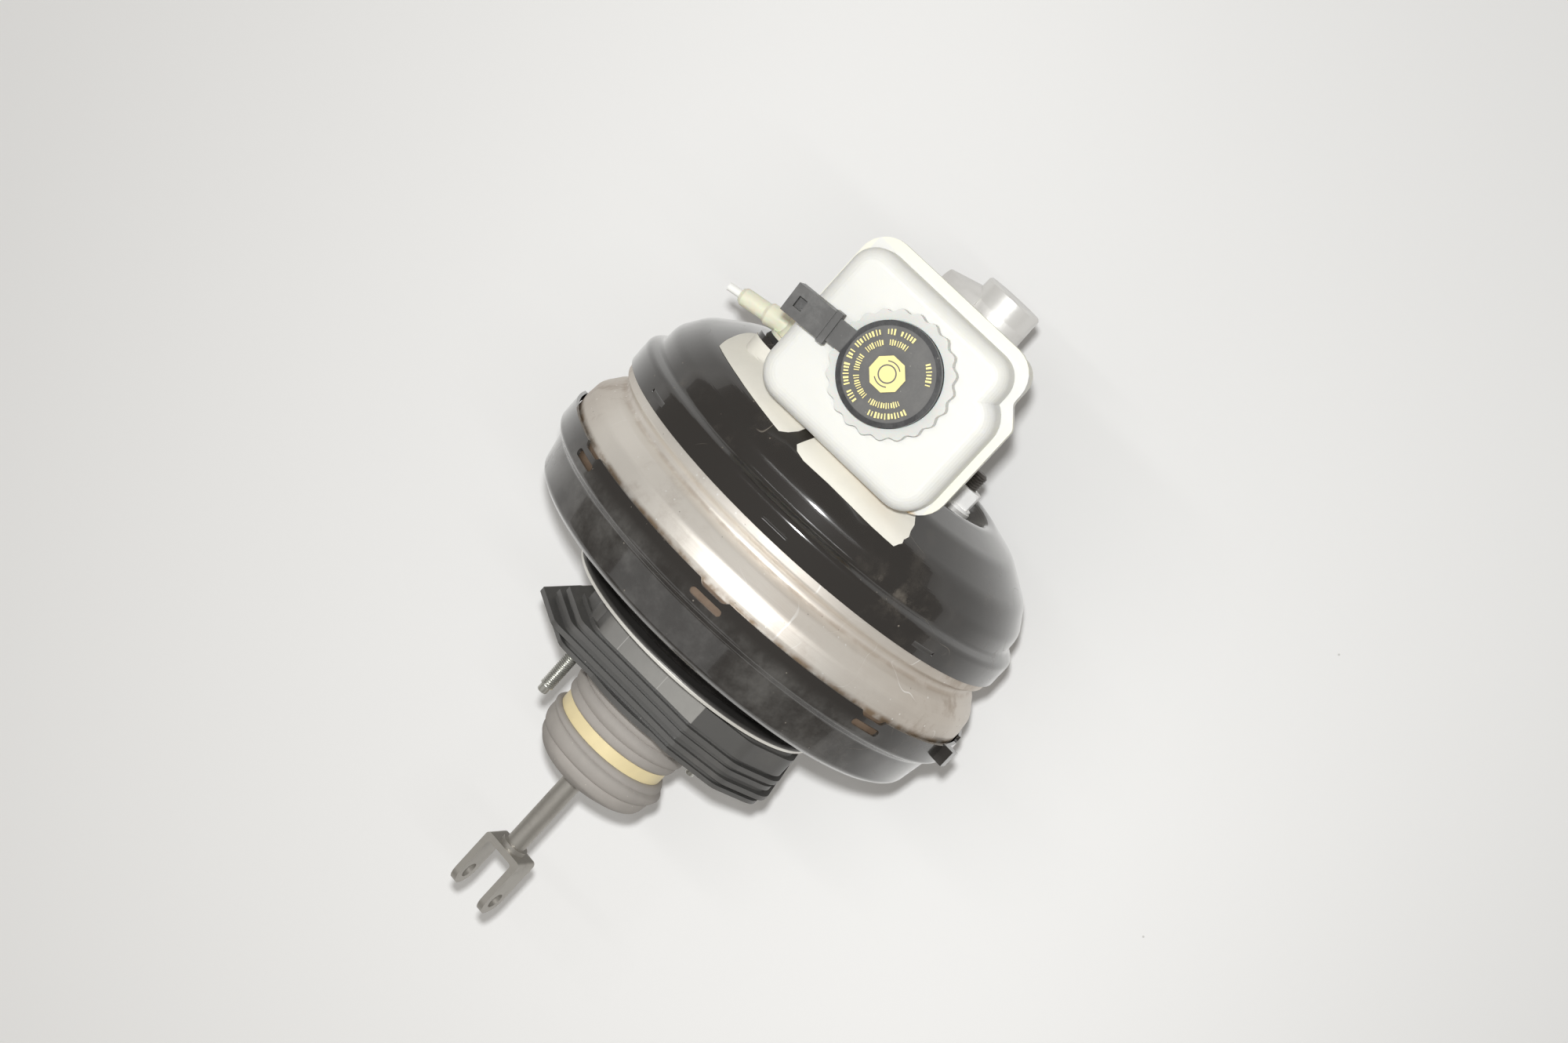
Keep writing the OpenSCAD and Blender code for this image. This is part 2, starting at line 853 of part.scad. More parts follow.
module reservoir_tub() {
    color([0.93, 0.93, 0.88, 0.9])
        difference() {
            union() {
                low_slab(0, tub_z, step_z + wall);
                slab(flange_lip, step_z, weld_z - 1, tub_rear_x - flange_lip);
                slab(flange_lip, weld_z - 5, weld_z);
                slab(0, weld_z - 2, weld_z);
                for (x = well_x)
                    translate([x, 0, 20])
                        cylinder(r = 7, h = tub_z - 18);
                for (y = [-9, 6])
                    translate([236, y, 20.5])
                        cube([10, 3, tub_z - 20]);
            }
            difference() {
                union() {
                    low_slab(wall, tub_z + wall, step_z + wall + 1);
                    slab(flange_lip + wall, step_z + wall, weld_z + 1, tub_rear_x - flange_lip);
                }
                translate([240, -60, tub_z])
                    cube([2, 120, 38]);
            }
            for (x = well_x)
                translate([x, 0, 19])
                    cylinder(r = 5, h = 20);
            translate([241, -20, 25.6])
                rotate([-90, 0, 0])
                    cylinder(r = 2.55, h = 40, $fn = 32);
        }
}

module reservoir_cover() {
    color([0.95, 0.95, 0.92, 0.9])
        difference() {
            union() {
                slab(0, weld_z, weld_z + 2);
                translate([0, 0, weld_z])
                    cover_dome(0);
                translate([cap_x, 0, weld_z + cover_h - 6])
                    cylinder(r = neck_or, h = neck_top_z - weld_z - cover_h + 6);
            }
            translate([0, 0, weld_z - 0.01])
                cover_dome(wall);
            translate([cap_x, 0, weld_z + 2])
                cylinder(r = neck_ir, h = 40);
        }
}

module reservoir_pin() {
    color([0.7, 0.7, 0.7])
        union() {
            translate([241, -11, 25.6])
                rotate([-90, 0, 0])
                    cylinder(r = 2.5, h = 22, $fn = 32);
            translate([241, -13, 25.6])
                rotate([-90, 0, 0])
                    cylinder(r = 4, h = 2, $fn = 32);
        }
}

// Filler cap with its level sensor

guide_z = 76;
lobe_n = 22;
collar_r = 31.2;

module filler_cap() {
    color([0.05, 0.05, 0.055])
        translate([cap_x, 0, 0]) {
            difference() {
                translate([0, 0, neck_top_z + 1])
                    cylinder(r = cap_r, h = 7);
                translate([0, 0, neck_top_z + 7.4])
                    cylinder(r = cap_r - 2.6, h = 2);
            }
            difference() {
                translate([0, 0, guide_z])
                    cylinder(r = 5, h = neck_top_z - guide_z + 2);
                translate([0, 0, guide_z + 2])
                    cylinder(r = 3, h = neck_top_z - guide_z - 4);
            }
            translate([0, 0, guide_z - 2])
                cylinder(r = 8, h = 2.5);
            rotate([0, 0, 94.4]) {
                translate([20, -6.5, neck_top_z + 4.6])
                    cube([22, 13, 3]);
                translate([34.5, -9, neck_top_z + 3])
                    cube([4, 18, 7]);
                difference() {
                    translate([38, -8, neck_top_z - 1])
                        cube([23, 16, 12]);
                    translate([46, -5.5, neck_top_z + 1.2])
                        cube([16, 11, 7.6]);
                    translate([52, -3, neck_top_z + 8])
                        cube([5, 6, 4]);
                }
                for (y = [-2.5, 2.5])
                    translate([45, y - 0.5, neck_top_z + 4.6])
                        cube([9, 1, 1]);
            }
        }
}

module cap_collar() {
    color([0.9, 0.9, 0.86])
        translate([cap_x, 0, 0])
            difference() {
                translate([0, 0, neck_top_z - 5.6])
                    linear_extrude(height = 8)
                        polygon([
                            for (i = [0:lobe_n * 6 - 1])
                                let (a = i * 60 / lobe_n)
                                (collar_r + 0.9 * cos(a * lobe_n)) * [cos(a), sin(a)]
                        ]);
                translate([0, 0, neck_top_z - 9])
                    cylinder(r = neck_or + air_gap, h = 20);
                translate([0, 0, neck_top_z + 1 - air_gap])
                    cylinder(r = cap_r + air_gap, h = 20);
            }
}

module cap_seal() {
    color([0.1, 0.1, 0.1])
        translate([cap_x, 0, neck_top_z + 0.3])
            difference() {
                cylinder(r = neck_or - 0.4, h = 0.7);
                translate([0, 0, -1])
                    cylinder(r = neck_ir, h = 3);
            }
}

module level_float() {
    color([0.85, 0.83, 0.75])
        translate([cap_x, 0, guide_z + 0.9])
            difference() {
                cylinder(r = 14, h = 13);
                translate([0, 0, -1])
                    cylinder(r = 5.3, h = 15);
            }
}

// Vacuum check valve

module valve_grommet() {
    color([0.08, 0.08, 0.08])
        translate([0, valve_y, valve_z])
            turned([
                [valve_x - 5, 8], [valve_x + 2.5, 8], [valve_x + 2.5, 12.6], [valve_x, 13.6], [valve_x, 11],
                [valve_x - sheet_t, 11], [valve_x - sheet_t, 13], [valve_x - 5, 12]
            ]);
}

// Places children on the hose spigot, whose axis is +Z there, starting on the valve's own axis
module on_spigot() {
    translate([hose_x, valve_y, valve_z])
        rotate([-90, 0, spigot_lean])
            children();
}

module check_valve() {
    color([0.86, 0.84, 0.62])
        difference() {
            union() {
                translate([0, valve_y, valve_z])
                    turned([
                        [valve_x - 12, 0], [valve_x + 18, 0], [valve_x + 18, 8.5], [valve_x + 17, 9.5],
                        [valve_x + 4.5, 9.5], [valve_x + 4.5, 12.4], [valve_x + 2.5, 12.4],
                        [valve_x + 2.5, 8], [valve_x - 12, 8]
                    ]);
                on_spigot() {
                    cylinder(r = 6.2, h = 20);
                    translate([0, 0, 20])
                        cylinder(r1 = 6.2, r2 = spigot_r, h = 2);
                    translate([0, 0, 21.5])
                        cylinder(r = spigot_r, h = spigot_len - 21.5);
                    translate([0, 0, spigot_len])
                        cylinder(r1 = spigot_r, r2 = 3.8, h = 2);
                }
            }
            bar(valve_x - 13, valve_x - 4, 5.5, valve_y, valve_z);
            bar(valve_x - 4.5, valve_x + 4, 4, valve_y, valve_z);
            bar(valve_x + 3, valve_x + 15.5, 7.4, valve_y, valve_z);
            on_spigot()
                cylinder(r = 3.1, h = spigot_len + 3);
        }
}

module check_disc() {
    color([0.1, 0.1, 0.1])
        bar(valve_x + 3.4, valve_x + 5, 6.8, valve_y, valve_z);
}

module hose_tip() {
    color([0.93, 0.93, 0.9])
        on_spigot()
            difference() {
                translate([0, 0, 30])
                    cylinder(r = 3.1, h = spigot_len - 29);
                translate([0, 0, 29])
                    cylinder(r = 1.8, h = 30);
            }
    color([0.93, 0.93, 0.9])
        on_spigot()
            difference() {
                translate([0, 0, spigot_len + 1])
                    cylinder(r = 2.3, h = 9);
                translate([0, 0, spigot_len])
                    cylinder(r = 1.4, h = 12);
            }
}

rear_shell();
middle_shell();
front_shell();
centre_plate();
centre_seal();
rear_guide_seal();
support_plate();
bulkhead_gasket();
bulkhead_studs();
boot();
boot_ring();
push_rod();
clevis();
rod_spring_seat();
rod_spring();
plunger();
poppet_valve();
poppet_spring();
air_filter();
valve_body();
plunger_key();
rear_plate();
rear_diaphragm();
front_plate();
front_diaphragm();
return_spring();
reaction_disc();
output_rod();
cylinder_body();
cylinder_oring();
cylinder_studs();
cylinder_nuts();
stop_ring();
guide_ring();
primary_piston();
primary_cups();
primary_spring();
secondary_piston();
secondary_cups();
secondary_spring();
reservoir_grommets();
reservoir_tub();
reservoir_cover();
reservoir_pin();
filler_cap();
cap_collar();
cap_seal();
level_float();
valve_grommet();
check_valve();
check_disc();
hose_tip();
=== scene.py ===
"""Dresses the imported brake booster: its finishes, its thin and soft pieces, and a plain studio."""

import json
import math

import bpy
import numpy as np
from bpy.props import FloatProperty, FloatVectorProperty, PointerProperty
from mathutils import Matrix, Vector
from mathutils.bvhtree import BVHTree
from mathutils.geometry import delaunay_2d_cdt


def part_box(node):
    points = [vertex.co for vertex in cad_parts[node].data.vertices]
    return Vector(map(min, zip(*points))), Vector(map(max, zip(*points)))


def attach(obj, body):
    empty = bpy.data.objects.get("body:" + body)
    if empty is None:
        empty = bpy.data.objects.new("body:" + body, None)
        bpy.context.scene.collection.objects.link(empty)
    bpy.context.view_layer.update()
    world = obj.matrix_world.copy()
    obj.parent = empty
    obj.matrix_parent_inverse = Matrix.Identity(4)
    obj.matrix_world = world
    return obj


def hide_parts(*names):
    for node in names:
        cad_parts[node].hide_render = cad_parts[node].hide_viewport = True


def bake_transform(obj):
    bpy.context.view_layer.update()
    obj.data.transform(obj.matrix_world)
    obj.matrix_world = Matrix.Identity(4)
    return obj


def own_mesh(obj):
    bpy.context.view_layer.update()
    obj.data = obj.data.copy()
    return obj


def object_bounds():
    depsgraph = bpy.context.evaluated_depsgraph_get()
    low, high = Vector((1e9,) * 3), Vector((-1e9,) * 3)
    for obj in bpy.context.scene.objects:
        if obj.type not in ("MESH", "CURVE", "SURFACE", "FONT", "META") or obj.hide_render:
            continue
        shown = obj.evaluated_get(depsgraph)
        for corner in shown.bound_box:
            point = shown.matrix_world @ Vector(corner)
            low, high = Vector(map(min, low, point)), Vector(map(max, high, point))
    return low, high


bl_info = {
    "name": "Brake Booster Dressing",
    "version": (1, 0, 0),
    "blender": (4, 5, 0),
    "location": "View3D > Sidebar > Booster",
    "description": "Finishes, thin pieces and a plain studio for a vacuum brake booster",
    "category": "Object",
}

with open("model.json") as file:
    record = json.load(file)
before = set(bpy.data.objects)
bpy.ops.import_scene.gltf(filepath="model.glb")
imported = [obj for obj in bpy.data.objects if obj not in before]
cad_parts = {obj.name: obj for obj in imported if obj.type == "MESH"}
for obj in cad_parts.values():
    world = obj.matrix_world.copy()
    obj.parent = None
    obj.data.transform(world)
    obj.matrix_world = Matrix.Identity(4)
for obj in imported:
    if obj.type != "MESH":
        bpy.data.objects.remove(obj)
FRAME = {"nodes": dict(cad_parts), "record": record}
NODES = FRAME["nodes"]
CAD_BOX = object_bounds()
MM = 0.001

# The floor, just under the lowest point of the part
FLOOR_Z = CAD_BOX[0].z - 0.2 * MM
# Middle of the filler cap, at the top of its rim
CAP_PLACE = Vector((0.2375, 0.0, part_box("filler_cap")[1].z))
# Name of the mesh attribute that tells the boot's finish where to paint shade into its creases
CREASE_SHADE_MARK = "crease"

# The camera of the photograph, in the frame
EYE = Vector((0.3672, -0.1825, 1.2484))
TARGET = Vector((0.1228, 0.0111, 0.0))
VIEW_ROLL = 0.83
LENS = 54.0
SENSOR_WIDTH = 36.0


# Sizes and colours that a user would change


def colour_property(name, text, value):
    return FloatVectorProperty(
        name=name, description=text, subtype="COLOR", size=3, min=0.0, max=1.0, default=value
    )


class BoosterColours(bpy.types.PropertyGroup):
    """Base colours of the finishes."""

    enamel: colour_property("Enamel", "Gloss enamel on the two shells", (0.024, 0.0215, 0.0195))
    band: colour_property("Band", "Bare metal of the middle shell", (0.80, 0.76, 0.70))
    rust: colour_property("Rust", "Rust that shows in the rim's slots", (0.11, 0.07, 0.045))
    gasket: colour_property("Gasket", "Moulded bulkhead gasket", (0.090, 0.088, 0.084))
    boot: colour_property("Boot", "Dusty rubber of the dust boot", (0.36, 0.335, 0.31))
    ring: colour_property("Ring", "Ring around the dust boot", (0.86, 0.73, 0.43))
    rod: colour_property("Rod", "Phosphated steel of the push rod and clevis", (0.43, 0.41, 0.375))
    casting: colour_property("Casting", "Cast aluminium of the master cylinder", (0.80, 0.79, 0.77))
    reservoir: colour_property("Reservoir", "Milky plastic of the reservoir", (0.72, 0.715, 0.675))
    cap: colour_property("Cap", "Black plastic of the filler cap", (0.020, 0.020, 0.021))
    print: colour_property("Print", "Yellow printed marks on the cap", (0.88, 0.76, 0.32))
    valve: colour_property("Valve", "Pale plastic of the vacuum valve", (0.76, 0.745, 0.60))
    label: colour_property("Label", "Blank labels on the front shell", (0.80, 0.775, 0.70))


class BoosterSizes(bpy.types.PropertyGroup):
    """Sizes of the thin and soft pieces."""

    thread_depth: FloatProperty(
        name="Thread Depth",
        description="Height of a stud's thread above its root",
        default=0.62 * MM,
        unit="LENGTH",
    )
    label_thickness: FloatProperty(
        name="Label Thickness",
        description="Thickness of a label with its glue",
        default=0.25 * MM,
        unit="LENGTH",
    )
    boot_wall: FloatProperty(
        name="Boot Wall",
        description="Thickness of the dust boot's rubber",
        default=2.0 * MM,
        unit="LENGTH",
    )
    print_height: FloatProperty(
        name="Print Height",
        description="Height of the printed marks around the filler cap",
        default=3.0 * MM,
        unit="LENGTH",
    )


class BoosterStage(bpy.types.PropertyGroup):
    """The plain studio around the part."""

    floor: colour_property("Floor", "Pale floor and background", (0.93, 0.928, 0.922))
    fill: colour_property("Fill", "Weak light from all sides", (1.0, 0.94, 0.86))
    fill_strength: FloatProperty(
        name="Fill Strength",
        description="Strength of the light from all sides",
        default=0.235,
        min=0.0,
    )
    lamp_power: FloatProperty(
        name="Lamp Power",
        description="Power of the lamp beside the camera",
        default=11.8,
        min=0.0,
        unit="POWER",
    )


# Shader maths


class Field:
    """A value that varies over a surface. Arithmetic on it adds Math nodes to its finish."""

    def __init__(self, finish, socket):
        self.finish = finish
        self.socket = socket

    def math(self, operation, *values):
        inputs = dict(enumerate((self,) + values))
        return self.finish.node("ShaderNodeMath", inputs, operation=operation)

    def __add__(self, other):
        return self.math("ADD", other)

    __radd__ = __add__

    def __sub__(self, other):
        return self.math("SUBTRACT", other)

    def __rsub__(self, other):
        return self.finish.node("ShaderNodeMath", {0: other, 1: self}, operation="SUBTRACT")

    def __mul__(self, other):
        return self.math("MULTIPLY", other)

    __rmul__ = __mul__

    def __pow__(self, other):
        return self.math("POWER", other)

    def __mod__(self, other):
        return self.math("MODULO", other)

    def __abs__(self):
        return self.math("ABSOLUTE")

    def most(self, other):
        return self.math("MAXIMUM", other)

    def step(self, low, high):
        """Rises smoothly from 0 at low to 1 at high, or falls where low is above high."""
        if low > high:
            return 1 - self.step(high, low)
        inputs = {"Value": self, "From Min": low, "From Max": high}
        return self.finish.node("ShaderNodeMapRange", inputs, interpolation_type="SMOOTHSTEP")

    def within(self, low, full_from, full_to, high):
        """Rises from low to full_from, stays at 1 up to full_to, and has fallen to 0 at high."""
        return self.step(low, full_from) * self.step(high, full_to)


class Finish:
    """Builds one material around a Principled shader."""

    def __init__(self, name, **fixed):
        self.material = bpy.data.materials.new(name)
        self.material.use_nodes = True
        self.tree = self.material.node_tree
        self.shader = self.tree.nodes["Principled BSDF"]
        for socket, value in fixed.items():
            self.shader.inputs[socket.replace("_", " ")].default_value = value
        self.place = self.node("ShaderNodeTexCoord", output="Object")

    def feed(self, socket, value):
        """Links a field to a socket, or sets the socket to a plain value or a colour."""
        if isinstance(value, Field):
            self.tree.links.new(value.socket, socket)
        elif isinstance(value, tuple) and len(socket.default_value) == 4:
            socket.default_value = (*value, 1.0)
        else:
            socket.default_value = value

    def node(self, kind, inputs=None, output=0, **settings):
        """Adds a node with its settings and inputs, and gives one of its outputs."""
        made = self.tree.nodes.new(kind)
        for key, value in settings.items():
            setattr(made, key, value)
        for key, value in (inputs or {}).items():
            self.feed(made.inputs[key], value)
        return Field(self, made.outputs[output])

    def set(self, **varying):
        """Feeds the shader's sockets that vary over the surface, and gives the material."""
        for socket, value in varying.items():
            self.feed(self.shader.inputs[socket.replace("_", " ")], value)
        return self.material

    def stretched(self, x=1.0, y=1.0, z=1.0):
        """The place on the piece, scaled along each axis."""
        inputs = {"Vector": self.place, "Scale": (x, y, z)}
        return self.node("ShaderNodeMapping", inputs)

    def noise(self, scale, detail=3.0, roughness=0.55, place=None):
        inputs = {
            "Vector": place or self.place,
            "Scale": scale,
            "Detail": detail,
            "Roughness": roughness,
        }
        return self.node("ShaderNodeTexNoise", inputs)

    def specks(self, scale, size, share=0.5):
        """Small round specks, 1 inside a speck, in the given share of the cells."""
        cell = {"Vector": self.place, "Scale": scale, "Randomness": 1.0}
        near = self.node("ShaderNodeTexVoronoi", cell, output="Distance")
        tint = self.node("ShaderNodeTexVoronoi", cell, output="Color")
        chosen = self.node("ShaderNodeSeparateColor", {"Color": tint})
        return near.step(size, size * 0.6) * chosen.step(1 - share, 1 - share + 0.02)

    def scratches(self, scale, width, place=None):
        """Fine wandering lines, where a smooth noise passes through its middle value."""
        wander = self.noise(scale, 1.0, 0.3, place)
        return abs(wander - 0.5).step(width, width * 0.3)

    def mix(self, factor, first, second):
        """Blends two colours. A Mix node takes colours in sockets 6 and 7, and gives one in 2."""
        inputs = {0: factor, 6: first, 7: second}
        return self.node("ShaderNodeMix", inputs, output=2, data_type="RGBA")

    def axis(self, name):
        """The place on the piece along one axis, in metres."""
        return self.node("ShaderNodeSeparateXYZ", {"Vector": self.place}, output=name)

    def bump(self, height, distance, strength=1.0):
        inputs = {"Height": height, "Distance": distance, "Strength": strength}
        return self.node("ShaderNodeBump", inputs, output="Normal")


def colours():
    return bpy.context.scene.booster_colours


def sizes():
    return bpy.context.scene.booster_sizes


def tone(colour, factor):
    """The colour made lighter or darker, and never past white."""
    return tuple(min(1.0, c * factor) for c in colour)


# Places in the frame, in metres, where a finish changes. A pair holds where the change starts and
# where it ends, and four values hold a stretch, as Field.within takes them.
SKIRT_BEAD = (0.1535, 0.156, 0.157, 0.161)
DOME_BEAD = (0.146, 0.1495, 0.151, 0.154)
REAR_SHELL = (0.098, 0.090)
BAND_REAR_EDGE = (0.1045, 0.1015)
BAND_VALLEY = (0.123, 0.1245, 0.125, 0.1265)
BAND_UNDER_RIM = (0.1005, 0.0995)
BAND_SIDES = (0.085, 0.125)
PLATE_EDGE = (0.0406, 0.0399)
GASKET_SIDE = (0.0212, 0.0216)
GASKET_TOP = (0.054, 0.058)
GASKET_CORNER = (-0.0345, -0.034)
GASKET_SHINE = (0.065, -0.030)
FIRST_RIB = 0.052
RIB_STEP = 0.030
RIB_EDGE = (0.0006, 0.0002)
LOBE_CREST = (0.0362, 0.0374)
CYLINDER_END = (0.2845, 0.2855)
RESERVOIR_SEAM = (0.1015, 0.1022, 0.1060, 0.1068)
SEAM_FRONT = (0.2795, 0.2815)
SEAM_RIGHT = (-0.0535, -0.0550)
SEAM_LEFT = (0.0545, 0.0560)
TUB_BASE = (0.100, 0.086)
AMBER_REAR = (0.1935, 0.1900)
AMBER_HEIGHT = (0.112, 0.104)
AMBER_SIDE = (0.035, -0.01)
CAP_DISC = (0.0236, 0.0232)
CAP_ARM = (0.0245, 0.0255)
FLOOR_FAR = (0.55, 1.9)
FLOOR_RIGHT = (0.05, 0.55)
FLOOR_DOWN = (-0.35, 0.35)

# Finishes of this part


def enamel_finish():
    f = Finish("gloss_enamel", Coat_Roughness=0.05, Specular_IOR_Level=0.5)
    enamel = tuple(colours().enamel)
    dirt = (0.20, 0.175, 0.145)
    haze_and_sheen = (0.19, 0.185, 0.175)
    haze = f.noise(11, 5, 0.6).step(0.45, 0.75)
    grime = f.noise(60, 6, 0.7).step(0.48, 0.70) * haze
    specks = f.specks(210, 0.11, 0.12).most(f.specks(95, 0.06, 0.22))
    hairs = f.scratches(26, 0.0025) * f.noise(18, 2).step(0.52, 0.60)
    x = f.axis("X")
    crease = x.within(*SKIRT_BEAD).most(x.within(*DOME_BEAD) * 0.5)
    wear = (grime * 0.28).most(specks * 0.85).most(hairs * 0.6).most(crease * grime)
    # Lighter blotches on the rear shell: partly dust haze, partly a painted highlight
    rear = x.step(*REAR_SHELL) * f.noise(24, 5, 0.7).step(0.35, 0.75)
    colour = f.mix(wear, enamel, dirt)
    colour = f.mix(rear * 0.46, colour, haze_and_sheen)
    ripple = f.noise(8, 2) * 0.6 + f.noise(420, 3) * 0.012
    return f.set(
        Base_Color=colour,
        Roughness=0.16 + 0.16 * haze + 0.4 * wear,
        Coat_Weight=0.75 - 0.55 * wear,
        Normal=f.bump(ripple, 0.5 * MM, 0.30),
    )


def band_finish():
    f = Finish("bare_band", Specular_IOR_Level=0.5)
    metal_colour, rust = tuple(colours().band), tuple(colours().rust)
    dull, brown, tarnish_and_shade = (0.52, 0.46, 0.40), (0.42, 0.35, 0.29), (0.40, 0.32, 0.25)
    bright, scuffed, pitted = (0.78, 0.75, 0.71), (0.93, 0.91, 0.88), (0.20, 0.16, 0.13)
    rust_edge, rust_dust = (0.33, 0.24, 0.16), (0.26, 0.19, 0.135)
    x = f.axis("X")
    grain = f.noise(1.0, 4, 0.7, f.stretched(1500, 26, 26))
    stain = f.noise(7, 5, 0.62).step(0.42, 0.72)
    blotch = f.noise(34, 5, 0.7).step(0.50, 0.72)
    specks = f.specks(230, 0.15, 0.22).most(f.specks(120, 0.08, 0.22))
    pits = f.specks(330, 0.16, 0.10)
    scuffs = f.scratches(34, 0.004, f.stretched(0.5, 1, 1)) * f.noise(25, 2).step(0.5, 0.62)
    # Browner and darker towards both sides: tarnish, and painted shade where the band turns away from
    # the lamps
    side_tarnish_and_shade = abs(f.axis("Y")).step(*BAND_SIDES)
    edge = x.step(*BAND_REAR_EDGE).most(x.within(*BAND_VALLEY) * 0.35)
    hidden = x.step(*BAND_UNDER_RIM)
    colour = f.mix(stain * 0.55, metal_colour, dull)
    colour = f.mix(blotch * 0.35, colour, brown)
    colour = f.mix(side_tarnish_and_shade * (0.35 + 0.5 * blotch), colour, tarnish_and_shade)
    colour = f.mix((grain - 0.4) * 0.5, colour, bright)
    colour = f.mix(specks.most(scuffs) * 0.8, colour, scuffed)
    colour = f.mix(pits * 0.6, colour, pitted)
    colour = f.mix(edge * f.noise(90, 4).step(0.3, 0.6), colour, rust_edge)
    colour = f.mix(hidden, colour, f.mix(f.noise(120, 3), rust, rust_dust))
    return f.set(
        Base_Color=colour,
        Metallic=0.62 - 0.4 * stain * blotch - 0.5 * hidden,
        Roughness=0.34 + 0.16 * grain + 0.12 * stain,
        Normal=f.bump(grain + specks * 0.6 - pits, 0.08 * MM, 0.6),
    )


def plate_finish():
    f = Finish("plated_sheet", Metallic=0.45)
    shaded, bright, dull = (0.10, 0.095, 0.09), (0.92, 0.90, 0.84), (0.74, 0.72, 0.67)
    cloud = f.noise(18, 4)
    edge = f.axis("X").step(*PLATE_EDGE)
    colour = f.mix(edge, shaded, f.mix(cloud, bright, dull))
    return f.set(
        Base_Color=colour,
        Roughness=0.28 + 0.2 * f.noise(160, 3),
        Normal=f.bump(f.noise(300, 2), 0.05 * MM),
    )


def gasket_finish():
    f = Finish("moulded_gasket", Specular_IOR_Level=0.6)
    rubber = tuple(colours().gasket)
    dusty, painted_sheen = (0.135, 0.128, 0.118), (0.34, 0.33, 0.31)
    rib_glint_colour, speck_colour = (0.42, 0.41, 0.39), (0.40, 0.38, 0.35)
    x, y, z = f.axis("X"), f.axis("Y"), f.axis("Z")
    cloud = f.noise(26, 5, 0.65)
    panel = x.step(*GASKET_SIDE) * z.step(*GASKET_TOP) * y.step(*GASKET_CORNER)
    # Painted highlights: thin light lines along the rib edges on the panel
    rib_glints = panel * abs((y - FIRST_RIB) % RIB_STEP).step(*RIB_EDGE)
    # Painted sheen: the flat top panel is made lighter, more so towards -Y, in place of a reflection
    shine = panel * (0.25 + 0.6 * y.step(*GASKET_SHINE)) * (0.6 + 0.6 * cloud)
    colour = f.mix(cloud.step(0.48, 0.75) * 0.5, rubber, dusty)
    colour = f.mix(shine, colour, painted_sheen)
    colour = f.mix(rib_glints * 0.7, colour, rib_glint_colour)
    colour = f.mix(f.specks(260, 0.12, 0.07) * 0.6, colour, speck_colour)
    return f.set(
        Base_Color=colour,
        Roughness=0.30 + 0.25 * cloud,
        Normal=f.bump(f.noise(500, 4) + cloud * 2, 0.10 * MM, 0.5),
    )


def boot_finish():
    f = Finish("boot_rubber", Specular_IOR_Level=0.3)
    rubber = tuple(colours().boot)
    dusty, speck_colour = (0.42, 0.385, 0.35), (0.6, 0.56, 0.5)
    y, z = f.axis("Y"), f.axis("Z")
    from_axis = (y * y + z * z) ** 0.5
    cloud = f.noise(30, 5, 0.65)
    dust = f.noise(170, 4, 0.7).step(0.45, 0.75)
    crease = f.node("ShaderNodeAttribute", output="Fac", attribute_name=CREASE_SHADE_MARK)
    colour = f.mix(cloud.step(0.35, 0.7) * 0.5, rubber, tone(rubber, 0.72))
    colour = f.mix(dust * 0.3, colour, dusty)
    colour = f.mix(f.specks(330, 0.12, 0.05), colour, speck_colour)
    # Painted highlight: the lobe crests, farthest from the axis, are made lighter
    colour = f.mix(from_axis.step(*LOBE_CREST) * 0.35, colour, tone(rubber, 1.25))
    # Painted shade: the creases are made nearly black
    colour = f.mix(crease * 0.92, colour, tone(rubber, 0.10))
    return f.set(
        Base_Color=colour,
        Roughness=0.62 + 0.2 * cloud,
        Normal=f.bump(f.noise(700, 3) + cloud * 3, 0.08 * MM, 0.5),
    )


def plain_plastic(name, base, rough, spread=0.12, grain=500, **fixed):
    """Moulded plastic with a faint cloud in its colour and a fine skin."""
    f = Finish(name, **fixed)
    cloud = f.noise(22, 4, 0.6)
    colour = f.mix(cloud.step(0.3, 0.7), tone(base, 1 - spread), tone(base, 1 + spread))
    colour = f.mix(f.specks(300, 0.10, 0.03) * 0.5, colour, (0.35, 0.32, 0.28))
    return f.set(
        Base_Color=colour,
        Roughness=rough + 0.12 * cloud,
        Normal=f.bump(f.noise(grain, 3), 0.05 * MM, 0.5),
    )


def metal(name, base, rough, metallic=0.9, stain=(0.2, 0.17, 0.14), stained=0.3, grain=(1, 1, 1)):
    """Worked metal with a fine grain, and stains over a share of it."""
    f = Finish(name)
    cloud = f.noise(28, 5, 0.65)
    fine = f.noise(320, 4, 0.7, f.stretched(*grain))
    mark = cloud.step(0.5, 0.75) * stained
    colour = f.mix((fine - 0.5) * 0.6 + 0.3, tone(base, 0.85), tone(base, 1.12))
    colour = f.mix(mark, colour, stain)
    return f.set(
        Base_Color=colour,
        Metallic=metallic - 0.5 * mark,
        Roughness=rough + 0.18 * fine + 0.2 * mark,
        Normal=f.bump(fine + cloud, 0.05 * MM, 0.6),
    )


def casting_finish():
    f = Finish("cast_aluminium")
    alloy = tuple(colours().casting)
    dull, turned = (0.44, 0.42, 0.40), (0.72, 0.71, 0.69)
    sand = f.noise(260, 5, 0.7)
    cloud = f.noise(24, 4, 0.6)
    machined = f.axis("X").step(*CYLINDER_END)
    ringed = f.noise(1.0, 3, 0.6, f.stretched(2600, 40, 40))
    colour = f.mix(cloud.step(0.35, 0.7) * 0.45, alloy, dull)
    colour = f.mix(machined * 0.6, colour, turned)
    return f.set(
        Base_Color=colour,
        Metallic=0.38 - 0.10 * cloud,
        Roughness=0.42 - 0.16 * machined + 0.12 * cloud,
        Normal=f.bump(sand * (1 - machined) * 3 + ringed * machined * 0.5, 0.11 * MM, 0.6),
    )


